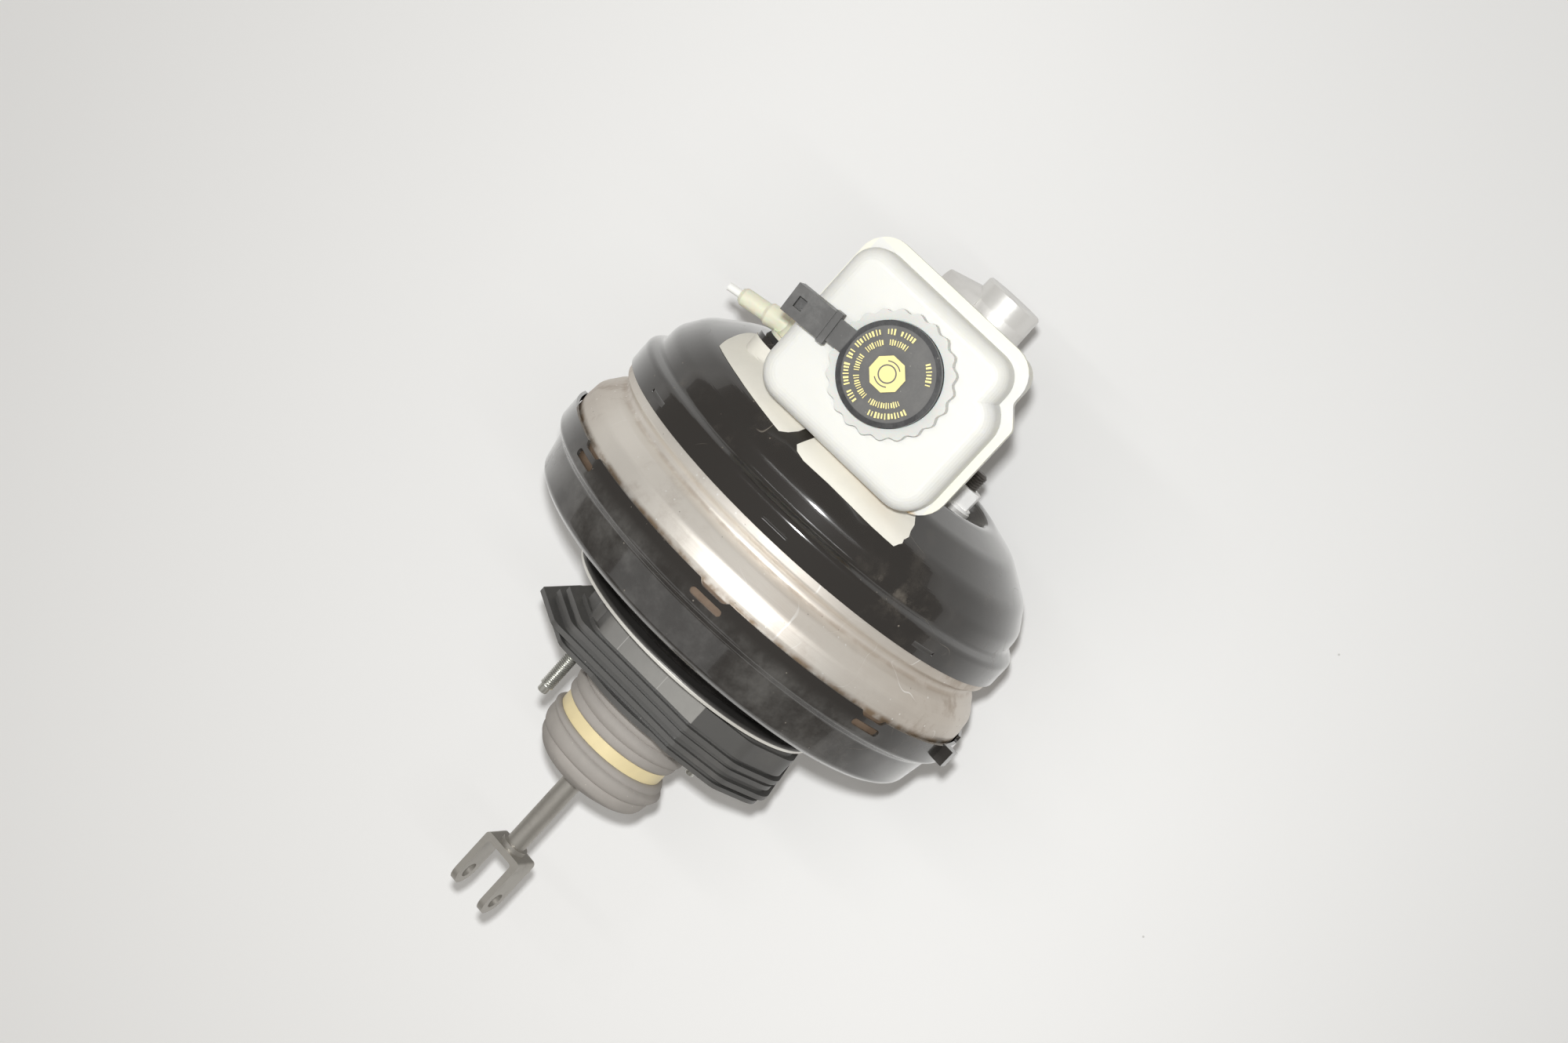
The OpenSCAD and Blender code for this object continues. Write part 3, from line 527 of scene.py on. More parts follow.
def reservoir_finish():
    f = Finish(
        "milky_plastic",
        Specular_IOR_Level=0.45,
        Subsurface_Weight=0.25,
        Subsurface_Scale=0.006,
        Subsurface_Radius=(1.0, 0.9, 0.6),
    )
    milky = tuple(colours().reservoir)
    cream, base_colour = (0.84, 0.82, 0.66), (0.80, 0.78, 0.66)
    amber_colour, faded = (0.55, 0.36, 0.14), (0.80, 0.79, 0.72)
    x, y, z = f.axis("X"), f.axis("Y"), f.axis("Z")
    cloud = f.noise(15, 4, 0.6)
    outer = x.step(*SEAM_FRONT).most(y.step(*SEAM_RIGHT)).most(y.step(*SEAM_LEFT))
    amber = x.step(*AMBER_REAR) * z.step(*AMBER_HEIGHT) * (0.35 + 0.65 * y.step(*AMBER_SIDE))
    colour = f.mix(outer * z.within(*RESERVOIR_SEAM) * 0.7, milky, cream)
    colour = f.mix(z.step(*TUB_BASE) * 0.5, colour, base_colour)
    colour = f.mix(amber * f.noise(45, 4).step(0.25, 0.6), colour, amber_colour)
    colour = f.mix(cloud.step(0.45, 0.7) * 0.15, colour, faded)
    return f.set(
        Base_Color=colour,
        Roughness=0.36 + 0.12 * cloud,
        Normal=f.bump(cloud * 2 + f.noise(420, 3) * 0.2, 0.16 * MM, 0.5),
    )


def cap_finish():
    f = Finish("cap_plastic", Specular_IOR_Level=0.4)
    black = tuple(colours().cap)
    dusty, worn, speck_colour = (0.10, 0.098, 0.095), (0.155, 0.152, 0.147), (0.40, 0.38, 0.34)
    x, y = f.axis("X") - CAP_PLACE.x, f.axis("Y")
    from_centre = (x * x + y * y) ** 0.5
    dust = f.noise(70, 6, 0.7).step(0.40, 0.72)
    disc = from_centre.step(*CAP_DISC)
    arm = y.step(*CAP_ARM)
    colour = f.mix(dust * 0.25, black, dusty)
    colour = f.mix(disc.most(arm * 0.8) * (0.7 + 0.3 * dust), colour, worn)
    colour = f.mix(f.specks(420, 0.16, 0.10) * 0.5, colour, speck_colour)
    return f.set(
        Base_Color=colour,
        Roughness=0.33 + 0.25 * disc + 0.15 * dust,
        Normal=f.bump(f.noise(600, 3) + dust, 0.06 * MM, 0.6),
    )


def label_finish():
    f = Finish("label_paper", Specular_IOR_Level=0.45)
    paper = tuple(colours().label)
    cloud = f.noise(40, 5, 0.65)
    return f.set(
        Base_Color=f.mix(cloud.step(0.4, 0.7) * 0.35, paper, tone(paper, 0.86)),
        Roughness=0.40 + 0.15 * cloud,
        Normal=f.bump(f.noise(90, 3, 0.5), 0.20 * MM, 0.5),
    )


def floor_finish():
    """A pale floor with painted light, lighter towards the view's bottom, that darkens to the view's
    right and glows faintly far away.
    """
    f = Finish("floor_pale", Specular_IOR_Level=0.2, Emission_Strength=1.0)
    pale = tuple(bpy.context.scene.booster_stage.floor)
    speck_colour, no_glow, far_glow = (0.35, 0.33, 0.30), (0.0, 0.0, 0.0), (0.46, 0.455, 0.445)
    x, y = f.axis("X"), f.axis("Y")
    far = ((x * x + y * y) ** 0.5).step(*FLOOR_FAR)
    rightward = ((x - y) * 0.70).step(*FLOOR_RIGHT)
    painted_light_downward = ((x + y) * -0.70).step(*FLOOR_DOWN)
    cloud = f.noise(3.0, 3)
    # Painted light: the floor is lighter towards the view's bottom
    colour = f.mix(painted_light_downward, tone(pale, 0.97), tone(pale, 1.06))
    colour = f.mix(cloud * 0.15, colour, pale)
    colour = f.mix(rightward * 0.6, colour, tone(pale, 0.72))
    return f.set(
        Base_Color=f.mix(f.specks(30, 0.03, 0.05) * 0.5, colour, speck_colour),
        Roughness=0.6 + 0.1 * cloud,
        Emission_Color=f.mix(far, no_glow, far_glow),
    )


# The finish of each material slot that the record and this script name
FINISH_MAKERS = {
    "shell_black": enamel_finish,
    "shell_band": band_finish,
    "plate_steel": plate_finish,
    "gasket": gasket_finish,
    "boot_rubber": boot_finish,
    "cast_aluminium": casting_finish,
    "reservoir_plastic": reservoir_finish,
    "cap_black": cap_finish,
    "label_paper": label_finish,
    "rubber_black": lambda: plain_plastic(
        "black_rubber", (0.022, 0.021, 0.020), rough=0.5, spread=0.3
    ),
    "zinc_steel": lambda: metal(
        "zinc_plate", (0.62, 0.62, 0.58), rough=0.26, stain=(0.30, 0.27, 0.22)
    ),
    "ring_cream": lambda: plain_plastic(
        "cream_ring", tuple(colours().ring), rough=0.42, spread=0.08, grain=300
    ),
    "rod_steel": lambda: metal(
        "phosphated_steel", tuple(colours().rod), rough=0.36, metallic=0.70,
        stain=(0.16, 0.14, 0.12), stained=0.5, grain=(0.2, 1, 1),
    ),
    "spring_wire": lambda: metal("spring_wire", (0.30, 0.30, 0.31), rough=0.34),
    "filter_felt": lambda: plain_plastic(
        "filter_felt", (0.52, 0.49, 0.42), rough=0.9, spread=0.25, grain=900
    ),
    "phenolic": lambda: plain_plastic("phenolic", (0.030, 0.026, 0.022), rough=0.4, spread=0.3),
    "stud_dark": lambda: metal(
        "dark_stud", (0.13, 0.12, 0.11), rough=0.38, metallic=0.8,
        stain=(0.07, 0.05, 0.04), stained=0.5,
    ),
    # Painted highlight: the plated nut gets a near-white diffuse colour in place of the lamp's
    # reflection on its facets
    "nut_bright": lambda: metal(
        "nut_painted_highlight", (1.0, 0.99, 0.97), rough=0.30, metallic=0.04,
        stain=(0.80, 0.76, 0.68), stained=0.1,
    ),
    "guide_plastic": lambda: plain_plastic("guide_plastic", (0.04, 0.04, 0.04), rough=0.4),
    "piston_alloy": lambda: metal("piston_alloy", (0.52, 0.50, 0.38), rough=0.3),
    "collar_plastic": lambda: plain_plastic(
        "collar_plastic", (0.60, 0.60, 0.57), rough=0.34, spread=0.04, grain=300,
        Subsurface_Weight=0.3, Subsurface_Scale=0.004,
    ),
    "float_plastic": lambda: plain_plastic(
        "float_plastic", (0.70, 0.66, 0.52), rough=0.7, spread=0.1, grain=700
    ),
    "valve_plastic": lambda: plain_plastic(
        "valve_plastic", tuple(colours().valve), rough=0.30, spread=0.07, grain=300,
        Subsurface_Weight=0.3, Subsurface_Scale=0.004,
    ),
    "tube_white": lambda: plain_plastic(
        "tube_white", (0.86, 0.86, 0.83), rough=0.35, spread=0.04, grain=300
    ),
    "cap_print": lambda: plain_plastic(
        "cap_print", tuple(colours().print), rough=0.5, spread=0.10, grain=700
    ),
}
finishes = {}


def finish_of(slot):
    """The finish of a slot, made when it is first asked for."""
    if slot not in finishes:
        finishes[slot] = FINISH_MAKERS[slot]()
    return finishes[slot]


# Mesh helpers


def clamp(value):
    """The value, held between 0 and 1."""
    return max(0.0, min(1.0, value))


def ramp(value, none_at, full_at):
    """Rises evenly from 0 at the first place to 1 at the second."""
    return clamp((value - none_at) / (full_at - none_at))


def add_object(name, data):
    """Links a new object to the scene's collection."""
    made = bpy.data.objects.new(name, data)
    bpy.context.scene.collection.objects.link(made)
    return made


def add_mesh(name, points, faces, slot, finish=None, smooth=True):
    """Adds a mesh piece in the row frame and gives it its finish."""
    mesh = bpy.data.meshes.new(name)
    mesh.from_pydata([tuple(p) for p in points], [], [tuple(f) for f in faces])
    mesh.validate()
    mesh.update()
    mesh.materials.append(finish_of(finish or slot))
    mesh.polygons.foreach_set("use_smooth", [smooth] * len(mesh.polygons))
    piece = add_object(name, mesh)
    return piece


def grid_faces(rows, columns, close_rows=False):
    """Quads of a grid of points, stored row by row, that closes around each row."""
    faces = []
    for i in range(rows if close_rows else rows - 1):
        for j in range(columns):
            a, b = i * columns + j, i * columns + (j + 1) % columns
            shift = columns if i < rows - 1 else -i * columns
            faces.append((a, b, b + shift, a + shift))
    return faces


def turned_mesh(profile, columns, wobble):
    """Points and faces of a closed [x, radius] profile turned about the X axis, and wobbled."""
    points = []
    for x, r in profile:
        for j in range(columns):
            angle = 2 * math.pi * j / columns
            dx, dr = wobble(x, angle)
            points.append((x + dx, (r + dr) * math.cos(angle), (r + dr) * math.sin(angle)))
    return points, grid_faces(len(profile), columns, close_rows=True)


def rounded_path(corners, count=4):
    """Cuts each inner corner of a path by a short curve. Corners are (x, radius, reach)."""
    path = [Vector(corners[0][:2])]
    for before, here, after in zip(corners, corners[1:], corners[2:]):
        p, a, b = Vector(here[:2]), Vector(before[:2]), Vector(after[:2])
        reach = min(here[2], (a - p).length * 0.48, (b - p).length * 0.48)
        start, end = p + (a - p).normalized() * reach, p + (b - p).normalized() * reach
        for i in range(count + 1):
            t = i / count
            path.append(start.lerp(p, t).lerp(p.lerp(end, t), t))
    path.append(Vector(corners[-1][:2]))
    return path


def set_sharp(piece, degrees):
    """Keeps the edges sharp whose faces meet at more than this angle."""
    piece.data.set_sharp_from_angle(angle=math.radians(degrees))


def walled(path, wall):
    """Closed profile of a sheet whose inner line is the path, which runs towards lower x."""
    outer = []
    for i, p in enumerate(path):
        along = (path[min(i + 1, len(path) - 1)] - path[max(i - 1, 0)]).normalized()
        outer.append(p + Vector((along.y, -along.x)) * wall)
    return list(path) + outer[::-1]


def copy_of_node(node, name, slot):
    """A new piece with a copy of a CAD node's mesh, which it replaces."""
    piece = add_object(name, NODES[node].data.copy())
    piece.data.materials.clear()
    piece.data.materials.append(finish_of(slot))
    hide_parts(node)
    return piece


# Operators, one for each piece or group of pieces


class BOOSTER_OT_finishes(bpy.types.Operator):
    """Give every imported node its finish"""

    bl_idname = "booster.finishes"
    bl_label = "Finishes"

    def execute(self, context):
        slots = {s["node"]: s["material_slot"] for s in FRAME["record"]["subparts"]}
        for name, node in NODES.items():
            finish = finish_of(slots[name])
            if not node.material_slots:
                node.data.materials.append(finish)
            for place in node.material_slots:
                place.material = finish
        return {"FINISHED"}


# Inner line of the dust boot as (x, radius, reach of the rounding) in millimetres: a run of lobes,
# with a narrow crease after each and a flat seat for the ring
BOOT_LINE = [
    (10, 34.2, 0), (2.5, 34.2, 1), (0.5, 36.0, 1.5), (-5.5, 36.9, 3), (-10.6, 36.0, 1.2),
    (-11.5, 32.4, 0.4), (-12.3, 32.4, 0.4), (-13.2, 36.3, 1.0), (-16.5, 37.5, 2.5), (-19.5, 36.4, 1.0),
    (-20.4, 32.4, 0.4), (-21.2, 32.4, 0.4), (-22.0, 35.9, 0.9), (-24.6, 35.8, 1.0), (-25.2, 32.8, 0.5),
    (-36.0, 32.8, 0.5), (-36.4, 36.8, 0.7), (-37.8, 37.0, 0.8),
    (-38.6, 33.0, 0.4), (-39.4, 33.0, 0.4), (-40.2, 37.7, 1.0), (-43.5, 38.4, 2.5), (-46.2, 37.0, 1.0),
    (-47.1, 32.6, 0.4), (-47.9, 32.6, 0.4), (-48.8, 35.8, 1.0), (-52.0, 35.2, 4), (-56.0, 31.8, 3),
    (-59.2, 26.0, 3), (-60.8, 18.0, 2), (-61.4, 9.6, 1.5), (-62.4, 8.4, 0.8), (-65.5, 8.2, 0.5),
]
# Where one piece of the boot ends and the next begins: under the ring, and on the end's face
RING_SPLIT = -35.2
END_SPLIT = -59.6
SEAT_RADIUS = 32.8
RING_OVERLAP = 0.3
END_OVERLAP = 1.0
RING_MIDDLE = -30.7
BOOT_COLUMNS = 144
# How far the soft rubber sways along the axis, swells outwards and sags, in millimetres
BOOT_SWAY = 1.0
BOOT_RIPPLE = 0.35
BOOT_SWELL = 0.35
BOOT_SAG = 2.2
# Stretches in millimetres along X, or away from the ring's middle, over which these come in
FRONT_EASE = (0, -6)
END_EASE = (-66, -54)
RING_EASE = (5.5, 10.5)
SAG_FRONT = (-36, -41)
SAG_END = (-60, -54)
# Below this radius the outside lies in a crease, which the boot's finish darkens with painted shade, up
# to the last lobe before the boot's end
CREASE_RADIUS = 35.4
LAST_CREASE = -50.5


def boot_wobble(x, angle):
    """How far a point of the boot is off its turned shape, along the axis and outwards.

    The sway and the swell fade out at both ends of the boot and under the ring. The sag is in
    the lobes behind the ring alone.
    """
    x_mm = x / MM
    from_ends = min(ramp(x_mm, *FRONT_EASE), ramp(x_mm, *END_EASE))
    ease = from_ends * ramp(abs(x_mm - RING_MIDDLE), *RING_EASE)
    sway = BOOT_SWAY * math.sin(angle + 0.30 * x_mm)
    ripple = BOOT_RIPPLE * math.sin(3 * angle + 0.31 * x_mm)
    swell = BOOT_SWELL * math.sin(2 * angle + 0.16 * x_mm)
    sag = BOOT_SAG * min(ramp(x_mm, *SAG_FRONT), ramp(x_mm, *SAG_END))
    return (sway + ripple) * ease * MM, (swell * ease - sag * math.cos(angle)) * MM


class BOOSTER_OT_boot(bpy.types.Operator):
    """Make the dust boot in three pieces, of which the end follows the rod"""

    bl_idname = "booster.boot"
    bl_label = "Dust Boot"

    def execute(self, context):
        path = rounded_path(BOOT_LINE)
        ring_end = RING_SPLIT - RING_OVERLAP
        middle = [p for p in path if END_SPLIT < p.x <= ring_end]
        front = self.section("boot_front", [p for p in path if p.x > ring_end])
        rear = self.section("boot_rear", [Vector((RING_SPLIT, SEAT_RADIUS))] + middle)
        end = self.section("boot_end", [p for p in path if p.x <= END_SPLIT + END_OVERLAP])
        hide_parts("boot")
        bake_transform(front)
        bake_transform(rear)
        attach(end, "push_rod")
        return {"FINISHED"}

    def section(self, name, line):
        """One piece of the boot, with a mark on each point for the painted shade in its creases."""
        wall = sizes().boot_wall / MM
        profile = [(p.x * MM, p.y * MM) for p in walled(line, wall)]
        points, faces = turned_mesh(profile, BOOT_COLUMNS, boot_wobble)
        piece = add_mesh(name, points, faces, "boot_rubber")
        rows = [self.crease(x / MM, r / MM) for x, r in profile]
        mark = piece.data.attributes.new(CREASE_SHADE_MARK, "FLOAT", "POINT")
        mark.data.foreach_set("value", np.repeat(rows, BOOT_COLUMNS))
        return piece

    def crease(self, x, r):
        """How much shade to paint at a place in millimetres: 1 deep in a crease and 0 on a lobe."""
        return clamp(CREASE_RADIUS - r) if LAST_CREASE < x < 0 else 0.0


# Threads as (radius, pitch), and how finely a stud is drawn
M8 = (4 * MM, 1.25 * MM)
M10 = (5 * MM, 1.5 * MM)
STUD_COLUMNS = 36
ROWS_PER_PITCH = 6
# Where the studs stand: on a circle, and to the sides of the cylinder
BULKHEAD_CIRCLE = 58 * MM
BULKHEAD_ANGLE = 46
CYLINDER_SIDE = 50 * MM
# Where the thread of the cylinder studs starts and where their heads end, in metres along X
THREAD_START = 0.1945
HEAD_END = 0.196


def stud_ring(x, radii):
    """Points of one ring around the X axis, with a radius for each column."""
    turn = 2 * math.pi / STUD_COLUMNS
    return [(x, r * math.cos(turn * j), r * math.sin(turn * j)) for j, r in enumerate(radii)]


def plain_rings(start, profile):
    """Points of a turned stretch. The profile is (x from the start, radius) in millimetres."""
    rings = [stud_ring(start + x * MM, [r * MM] * STUD_COLUMNS) for x, r in profile]
    return [point for ring in rings for point in ring]


def thread_rings(x0, x1, thread):
    """Points of a helical thread that fades out at both ends.

    Its profile is a triangle wave, cut off flat at the crest and at the root.
    """
    outer, pitch = thread
    depth = sizes().thread_depth
    rows = int((x1 - x0) / pitch * ROWS_PER_PITCH) + 1
    points = []
    for i in range(rows):
        x = x0 + (x1 - x0) * i / (rows - 1)
        fade = min(1.0, i / ROWS_PER_PITCH, (rows - 1 - i) / ROWS_PER_PITCH)
        radii = []
        for j in range(STUD_COLUMNS):
            wave = abs(((x / pitch - j / STUD_COLUMNS) % 1.0) * 2 - 1)
            radii.append(outer - depth * fade * clamp(wave * 1.25 - 0.12))
        points.extend(stud_ring(x, radii))
    return points


def add_stud(name, points, place, slot):
    """Adds a closed bar from its rings of points, moved to its place."""
    rows = len(points) // STUD_COLUMNS
    first = list(range(STUD_COLUMNS))
    last = [(rows - 1) * STUD_COLUMNS + j for j in first]
    faces = [first[::-1], *grid_faces(rows, STUD_COLUMNS), last]
    piece = add_mesh(name, [Vector(p) + place for p in points], faces, slot)
    set_sharp(piece, 40)
    return piece


class BOOSTER_OT_studs(bpy.types.Operator):
    """Cut the threads of the bulkhead studs and the cylinder studs"""

    bl_idname = "booster.studs"
    bl_label = "Threaded Studs"

    def execute(self, context):
        bulkhead, cylinder = self.bulkhead_studs(), self.cylinder_studs()
        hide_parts("bulkhead_studs")
        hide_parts("cylinder_studs")
        for piece in bulkhead + cylinder:
            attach(piece, "housing")
        return {"FINISHED"}

    def bulkhead_studs(self):
        low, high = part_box("bulkhead_studs")
        points = plain_rings(low.x, [(0, 2.6), (0.5, 3), (4, 3), (4.4, 3.3)])
        points += thread_rings(low.x + 4.6 * MM, -3 * MM, M8)
        points += plain_rings(0, [(-2.9, 4), (-0.01, 4), (0, 4.3)])
        points += plain_rings(high.x, [(-3.4, 4.3), (-3.39, 8.5), (0, 8.5)])
        made = []
        for k in range(2):
            angle = math.radians(BULKHEAD_ANGLE) + k * math.pi
            place = Vector((0, math.cos(angle), math.sin(angle))) * BULKHEAD_CIRCLE
            made.append(add_stud(f"bulkhead_stud_{k + 1}", points, place, "zinc_steel"))
        return made

    def cylinder_studs(self):
        low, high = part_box("cylinder_studs")
        points = thread_rings(THREAD_START, high.x - 1.3 * MM, M10)
        points += plain_rings(high.x, [(-1.2, 4.9), (0, 3.6)])
        head = plain_rings(low.x, [(0, 9), (3, 9), (3.001, 5), ((HEAD_END - low.x) / MM, 5)])
        made = []
        for k, side in enumerate((-CYLINDER_SIDE, CYLINDER_SIDE)):
            place = Vector((0, side, 0))
            name = f"cylinder_stud_{k + 1}"
            made.append(add_stud(name, points, place, "stud_dark"))
            made.append(add_stud(name + "_head", head, place, "stud_dark"))
        return made


# Height of a label's underside over the shell
UNDER_LABEL = 0.15 * MM
# Largest step between a label's points, as (millimetres along X, degrees around the shell)
LABEL_STEP = Vector((1.0, 2.0))
# Distance from the axis from which a label's points are dropped on the shell
DROP_RADIUS = 0.2
# Outlines of the labels as (x in millimetres, angle from the left side towards the top in degrees)
UPPER_LABEL = [
    (179.6, 40.5), (179.2, 48), (178.5, 57), (177.4, 67), (176.1, 77.2), (178.6, 78.8), (181.9, 79.8),
    (197.0, 80.5), (197.0, 22.5), (195.3, 23.1), (188.0, 30.0), (182.5, 36.6),
]
LOWER_LABEL = [
    (177.6, 82.8), (175.6, 84.2), (174.6, 87), (174.9, 95), (174.4, 102), (173.5, 109.5), (173.0, 117.0),
    (175.0, 117.8), (176.4, 118.6), (178.0, 118.5), (180.2, 119.6), (182.4, 119.6), (185.4, 120.2),
    (192.0, 119.0), (192.0, 84.5), (184.6, 83.6),
]


class BOOSTER_OT_labels(bpy.types.Operator):
    """Lay two blank labels on the front shell's dome"""

    bl_idname = "booster.labels"
    bl_label = "Blank Labels"

    def execute(self, context):
        shell = NODES["front_shell"]
        corners = [shell.matrix_world @ v.co for v in shell.data.vertices]
        surface = BVHTree.FromPolygons(corners, [tuple(p.vertices) for p in shell.data.polygons])
        for name, outline in (("label_upper", UPPER_LABEL), ("label_lower", LOWER_LABEL)):
            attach(self.label(name, outline, surface), "housing")
        return {"FINISHED"}

    def label(self, name, outline, surface):
        """A thin sheet with its edge on the outline, draped over the shell."""
        flat, faces = self.flat_sheet(outline)
        count = len(flat)
        points = []
        for lift in (UNDER_LABEL, UNDER_LABEL + sizes().label_thickness):
            points.extend(self.drop(place, surface, lift) for place in flat)
        side_tarnish_and_shade = {(t[k], t[(k + 1) % 3]) for t in faces for k in range(3)}
        top = [tuple(k + count for k in t) for t in faces]
        under = [t[::-1] for t in faces]
        rim = [(a, b, b + count, a + count) for a, b in side_tarnish_and_shade if (b, a) not in side_tarnish_and_shade]
        piece = add_mesh(name, points, top + under + rim, "collar_plastic", "label_paper")
        set_sharp(piece, 50)
        return piece

    def flat_sheet(self, outline):
        """Points and triangles that fill an outline, with its edge cut into small steps."""
        step = LABEL_STEP
        edge = []
        for here, after in zip(outline, outline[1:] + outline[:1]):
            p, q = Vector(here), Vector(after)
            count = max(1, math.ceil(max(abs(q.x - p.x) / step.x, abs(q.y - p.y) / step.y)))
            edge.extend(p.lerp(q, i / count) for i in range(count))
        low = Vector((min(p.x for p in edge), min(p.y for p in edge)))
        high = Vector((max(p.x for p in edge), max(p.y for p in edge)))
        inner = [
            Vector((low.x + step.x * (i + 0.5), low.y + step.y * (j + 0.5)))
            for i in range(int((high.x - low.x) / step.x))
            for j in range(int((high.y - low.y) / step.y))
        ]
        around = [list(range(len(edge)))]
        keep_inside, merge_within = 1, 1e-4
        flat, _, triangles, *_ = delaunay_2d_cdt(
            edge + inner, [], around, keep_inside, merge_within
        )
        used = sorted({k for t in triangles for k in t})
        index = {k: i for i, k in enumerate(used)}
        return [flat[k] for k in used], [tuple(index[k] for k in t) for t in triangles]

    def drop(self, place, surface, lift):
        """The point over a flat place that lies this far above the shell."""
        angle = math.radians(place.y)
        outward = Vector((0, math.cos(angle), math.sin(angle)))
        start = Vector((place.x * MM, 0, 0)) + outward * DROP_RADIUS
        touched, normal, *_ = surface.ray_cast(start, -outward)
        return touched + (normal if normal.dot(outward) > 0 else -normal) * lift


# Printed marks on the cap, as (radius in millimetres, first angle and last angle in degrees)
CAP_MARKS = [
    (20.3, -64, -30), (20.3, 2, 26), (20.3, 31, 47), (20.3, 52, 92), (20.3, 98, 112),
    (20.3, 117, 150), (20.3, 155, 172), (20.3, 196, 250),
    (15.2, 4, 42), (15.2, 50, 88), (15.2, 96, 126), (15.2, 134, 180), (15.2, 188, 250),
]
# Degrees from one mark to the next
MARK_STEP = 4.6
# How far the print lies below the top of the cap's rim, and the second layer above the first
PRINT_DEPTH = 0.6 * MM
PRINT_LAYER = 0.08 * MM
OCTAGON_RADIUS = 9.4 * MM
# Inner and outer radius of the ring and of the arcs on the octagon
RING_RADII = (4.0 * MM, 4.7 * MM)
ARC_RADII = (6.0 * MM, 6.6 * MM)


class BOOSTER_OT_cap_print(bpy.types.Operator):
    """Print two rings of plain marks and an octagon on the filler cap"""

    bl_idname = "booster.cap_print"
    bl_label = "Cap Print"

    def execute(self, context):
        first = CAP_PLACE.z - PRINT_DEPTH
        second = first + PRINT_LAYER
        arcs = self.arcs(*ARC_RADII, -38, 38) + self.arcs(*ARC_RADII, 142, 218)
        self.piece("cap_marks", self.marks(), first, "cap_print")
        self.piece("cap_octagon", self.octagon(), first, "cap_print")
        self.piece("cap_octagon_ring", self.arcs(*RING_RADII, 0, 360), second, "cap_black")
        self.piece("cap_octagon_arcs", arcs, second, "cap_black")
        return {"FINISHED"}

    def marks(self):
        """Short bars around the cap, with widths and heights that vary a little."""
        half = sizes().print_height / 2
        bars = []
        for k, (r, first, last) in enumerate(CAP_MARKS):
            for i in range(max(1, round((last - first) / MARK_STEP))):
                start = math.radians(first + MARK_STEP * i)
                width = math.radians(MARK_STEP * (0.36 + 0.26 * ((i * 7 + k * 3) % 4) / 3))
                reach = half * (0.80 + 0.20 * ((i * 5 + k) % 3) / 2)
                bars.append(self.arc(r * MM - reach, r * MM + reach, start, start + width))
        return bars

    def octagon(self):
        """Eight triangles around the cap's middle."""
        turn = math.pi / 4
        corners = [self.polar(OCTAGON_RADIUS, turn * (i + 0.5)) for i in range(9)]
        return [[Vector((0, 0)), a, b] for a, b in zip(corners, corners[1:])]

    def polar(self, r, angle):
        return Vector((r * math.cos(angle), r * math.sin(angle)))

    def arc(self, r_in, r_out, a, b):
        """Corners of one stretch of a flat ring between the angles a and b."""
        return [self.polar(r_in, a), self.polar(r_out, a), self.polar(r_out, b), self.polar(r_in, b)]

    def arcs(self, r_in, r_out, first, last):
        """A flat ring between two angles in degrees, cut into stretches of about 8 degrees."""
        count = round((last - first) / 8)
        angles = [math.radians(first + (last - first) * i / count) for i in range(count + 1)]
        return [self.arc(r_in, r_out, a, b) for a, b in zip(angles, angles[1:])]

    def piece(self, name, parts, z, finish):
        """Adds flat faces at one height over the cap's middle, which ride on the cap."""
        points, faces = [], []
        for corners in parts:
            faces.append(tuple(range(len(points), len(points) + len(corners))))
            points.extend(Vector((CAP_PLACE.x + p.x, CAP_PLACE.y + p.y, z)) for p in corners)
        made = add_mesh(name, points, faces, "cap_black", finish, smooth=False)
        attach(made, "filler_cap")


# Springs as (node, body, joint that shortens it, x of its fixed end, share of its length that stays)
SPRINGS = [
    ("return_spring", "housing", "pedal_stroke", 0.1871, 0.538),
    ("primary_spring", "primary_piston", "primary_stroke", 0.2042, 0.581),
    ("secondary_spring", "secondary_piston", "secondary_stroke", 0.2561, 0.528),
    ("rod_spring", "power_piston", "valve_travel", 0.0199, 0.926),
]
# Diaphragms as (node, x where it is held in the housing, x where the piston holds it)
DIAPHRAGMS = [
    ("rear_diaphragm", 0.0865, 0.0695),
    ("front_diaphragm", 0.146, 0.126),
]


class BOOSTER_OT_springs(bpy.types.Operator):
    """Copy the springs and diaphragms inside into pieces of their own, and put each spring on its body
    """

    bl_idname = "booster.springs"
    bl_label = "Springs and Diaphragms"

    def execute(self, context):
        for node, body, joint, fixed_x, keep in SPRINGS:
            piece = copy_of_node(node, node + "_wire", "spring_wire")
            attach(piece, body)
            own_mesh(piece)
        for node, start, end in DIAPHRAGMS:
            piece = copy_of_node(node, node + "_sheet", "rubber_black")
            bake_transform(piece)
        return {"FINISHED"}


# Half the floor's width, and the height of the camera's lamp over the lens, in metres
FLOOR_REACH = 40.0
LAMP_OVER_LENS = 0.06
LAMP_COLOUR = (0.99, 1.0, 1.0)


def view_axes():
    """Directions to the right, up and forward as the camera sees them."""
    forward = (TARGET - EYE).normalized()
    along = (Vector((1, 0, 0)) - forward * forward.x).normalized()
    across = forward.cross(along)
    right = along * math.cos(VIEW_ROLL) + across * math.sin(VIEW_ROLL)
    return right, right.cross(forward), forward


def turn_to(piece, place, right, up, back):
    """Moves an object to a place and turns its own axes to three directions."""
    turn = Matrix((right, up, back)).transposed()
    piece.matrix_world = Matrix.Translation(place) @ turn.to_4x4()


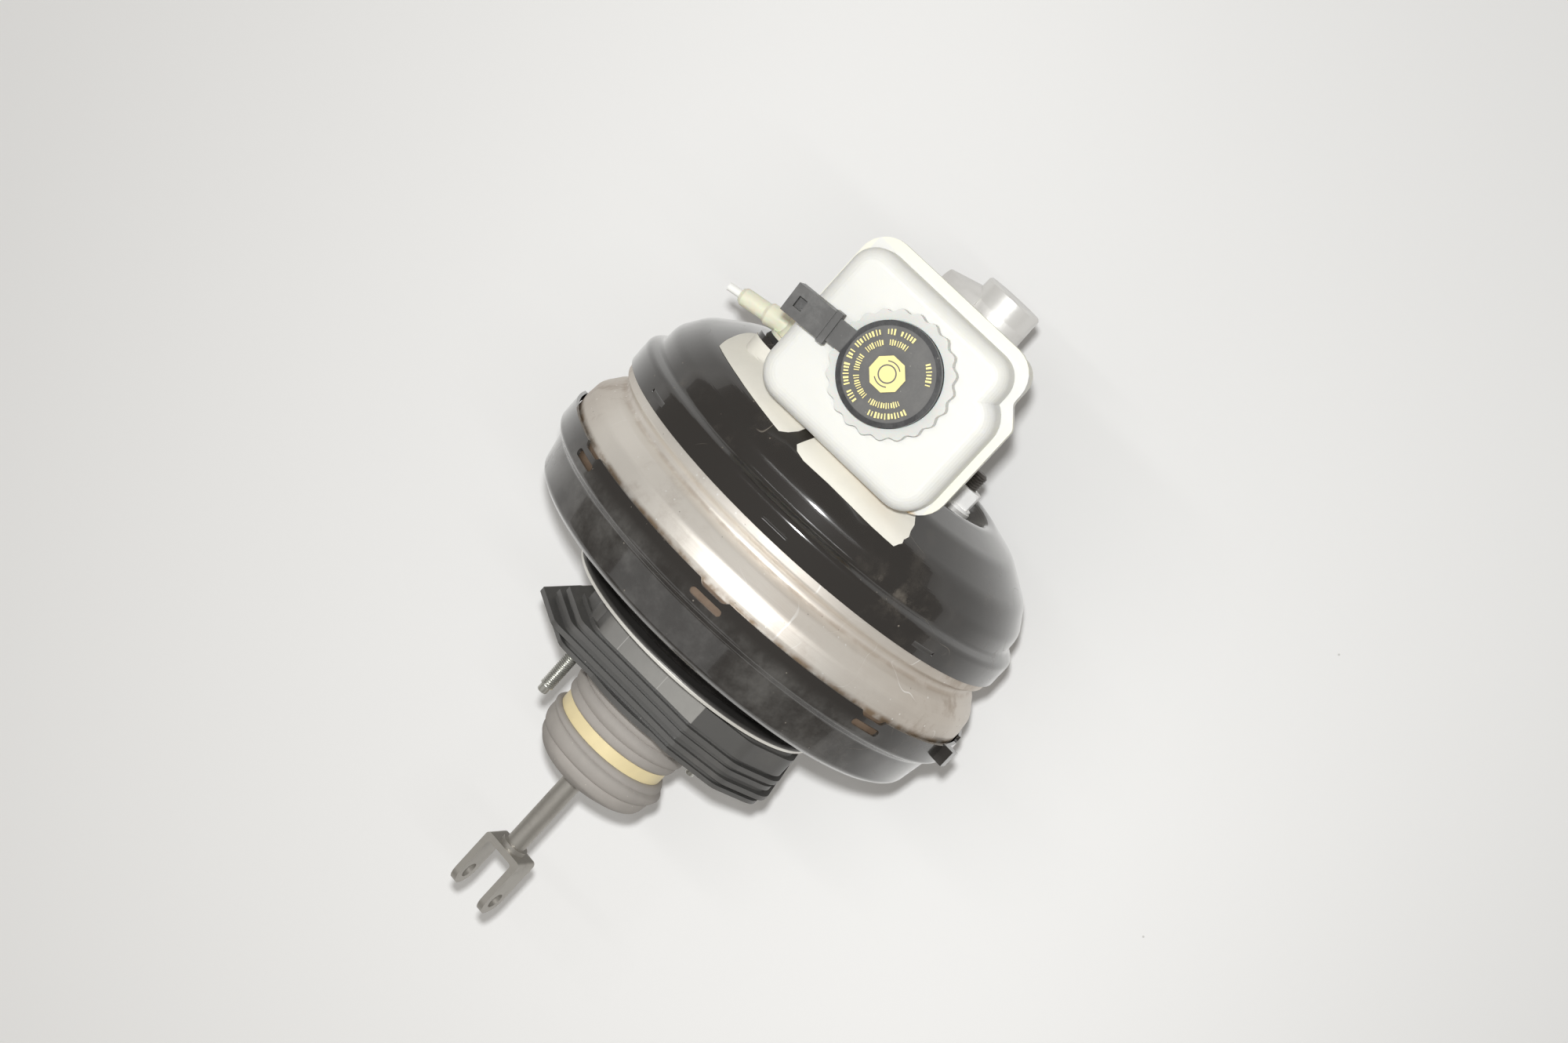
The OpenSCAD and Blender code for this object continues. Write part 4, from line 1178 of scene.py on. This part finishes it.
class BOOSTER_OT_stage(bpy.types.Operator):
    """Set up the floor, the lamps and the camera"""

    bl_idname = "booster.stage"
    bl_label = "Studio"

    def execute(self, context):
        self.floor()
        self.fill(context)
        self.lamps(context)
        self.camera(context)
        return {"FINISHED"}

    def floor(self):
        square = ((-1, -1), (1, -1), (1, 1), (-1, 1))
        corners = [(x * FLOOR_REACH, y * FLOOR_REACH, FLOOR_Z) for x, y in square]
        mesh = bpy.data.meshes.new("floor")
        mesh.from_pydata(corners, [], [(0, 1, 2, 3)])
        mesh.materials.append(floor_finish())
        add_object("floor", mesh)

    def fill(self, context):
        stage = context.scene.booster_stage
        world = bpy.data.worlds.new("studio")
        world.use_nodes = True
        light = world.node_tree.nodes["Background"]
        light.inputs["Color"].default_value = (*stage.fill, 1.0)
        light.inputs["Strength"].default_value = stage.fill_strength
        context.scene.world = world

    def lamps(self, context):
        over_lens = EYE + view_axes()[1] * LAMP_OVER_LENS
        for name, place, size, share in (
            ("lamp_camera", over_lens, (0.035, 0.035), 1.0),
            ("lamp_tube", Vector((0.36, -0.05, 1.45)), (0.05, 1.6), 0.34),
            ("lamp_side", Vector((-0.9, 0.3, 1.1)), (0.8, 1.6), 0.20),
        ):
            lamp = bpy.data.lights.new(name, "AREA")
            lamp.shape = "RECTANGLE"
            lamp.size, lamp.size_y = size
            lamp.energy = context.scene.booster_stage.lamp_power * share
            lamp.color = LAMP_COLOUR
            back = (place - TARGET).normalized()
            across = Vector((0, 1, 0)).cross(back).normalized()
            turn_to(add_object(name, lamp), place, across, back.cross(across), back)

    def camera(self, context):
        camera = bpy.data.cameras.new("camera")
        camera.lens = LENS
        camera.sensor_width = SENSOR_WIDTH
        camera.clip_start, camera.clip_end = 0.01, 50
        right, up, forward = view_axes()
        context.scene.camera = add_object("camera", camera)
        turn_to(context.scene.camera, EYE, right, up, -forward)
        context.scene.view_settings.view_transform = "Standard"


class BOOSTER_PT_panel(bpy.types.Panel):
    """Lists the pieces of the booster"""

    bl_idname = "BOOSTER_PT_panel"
    bl_label = "Booster"
    bl_space_type = "VIEW_3D"
    bl_region_type = "UI"
    bl_category = "Booster"

    def draw(self, context):
        column = self.layout.column()
        for operator in OPERATORS:
            column.operator(operator.bl_idname)
        for group in GROUPS:
            settings = getattr(context.scene, group)
            for name in settings.__annotations__:
                column.prop(settings, name)


GROUPS = {
    "booster_colours": BoosterColours,
    "booster_sizes": BoosterSizes,
    "booster_stage": BoosterStage,
}
OPERATORS = (
    BOOSTER_OT_finishes,
    BOOSTER_OT_boot,
    BOOSTER_OT_studs,
    BOOSTER_OT_labels,
    BOOSTER_OT_cap_print,
    BOOSTER_OT_springs,
    BOOSTER_OT_stage,
)
CLASSES = (*GROUPS.values(), *OPERATORS, BOOSTER_PT_panel)


def register():
    for cls in CLASSES:
        bpy.utils.register_class(cls)
    for name, group in GROUPS.items():
        setattr(bpy.types.Scene, name, PointerProperty(type=group))


def unregister():
    for name in GROUPS:
        delattr(bpy.types.Scene, name)
    for cls in reversed(CLASSES):
        bpy.utils.unregister_class(cls)


def main():
    register()
    bpy.ops.booster.finishes()
    bpy.ops.booster.boot()
    bpy.ops.booster.studs()
    bpy.ops.booster.labels()
    bpy.ops.booster.cap_print()
    bpy.ops.booster.springs()
    bpy.ops.booster.stage()


if __name__ == "__main__":
    main()
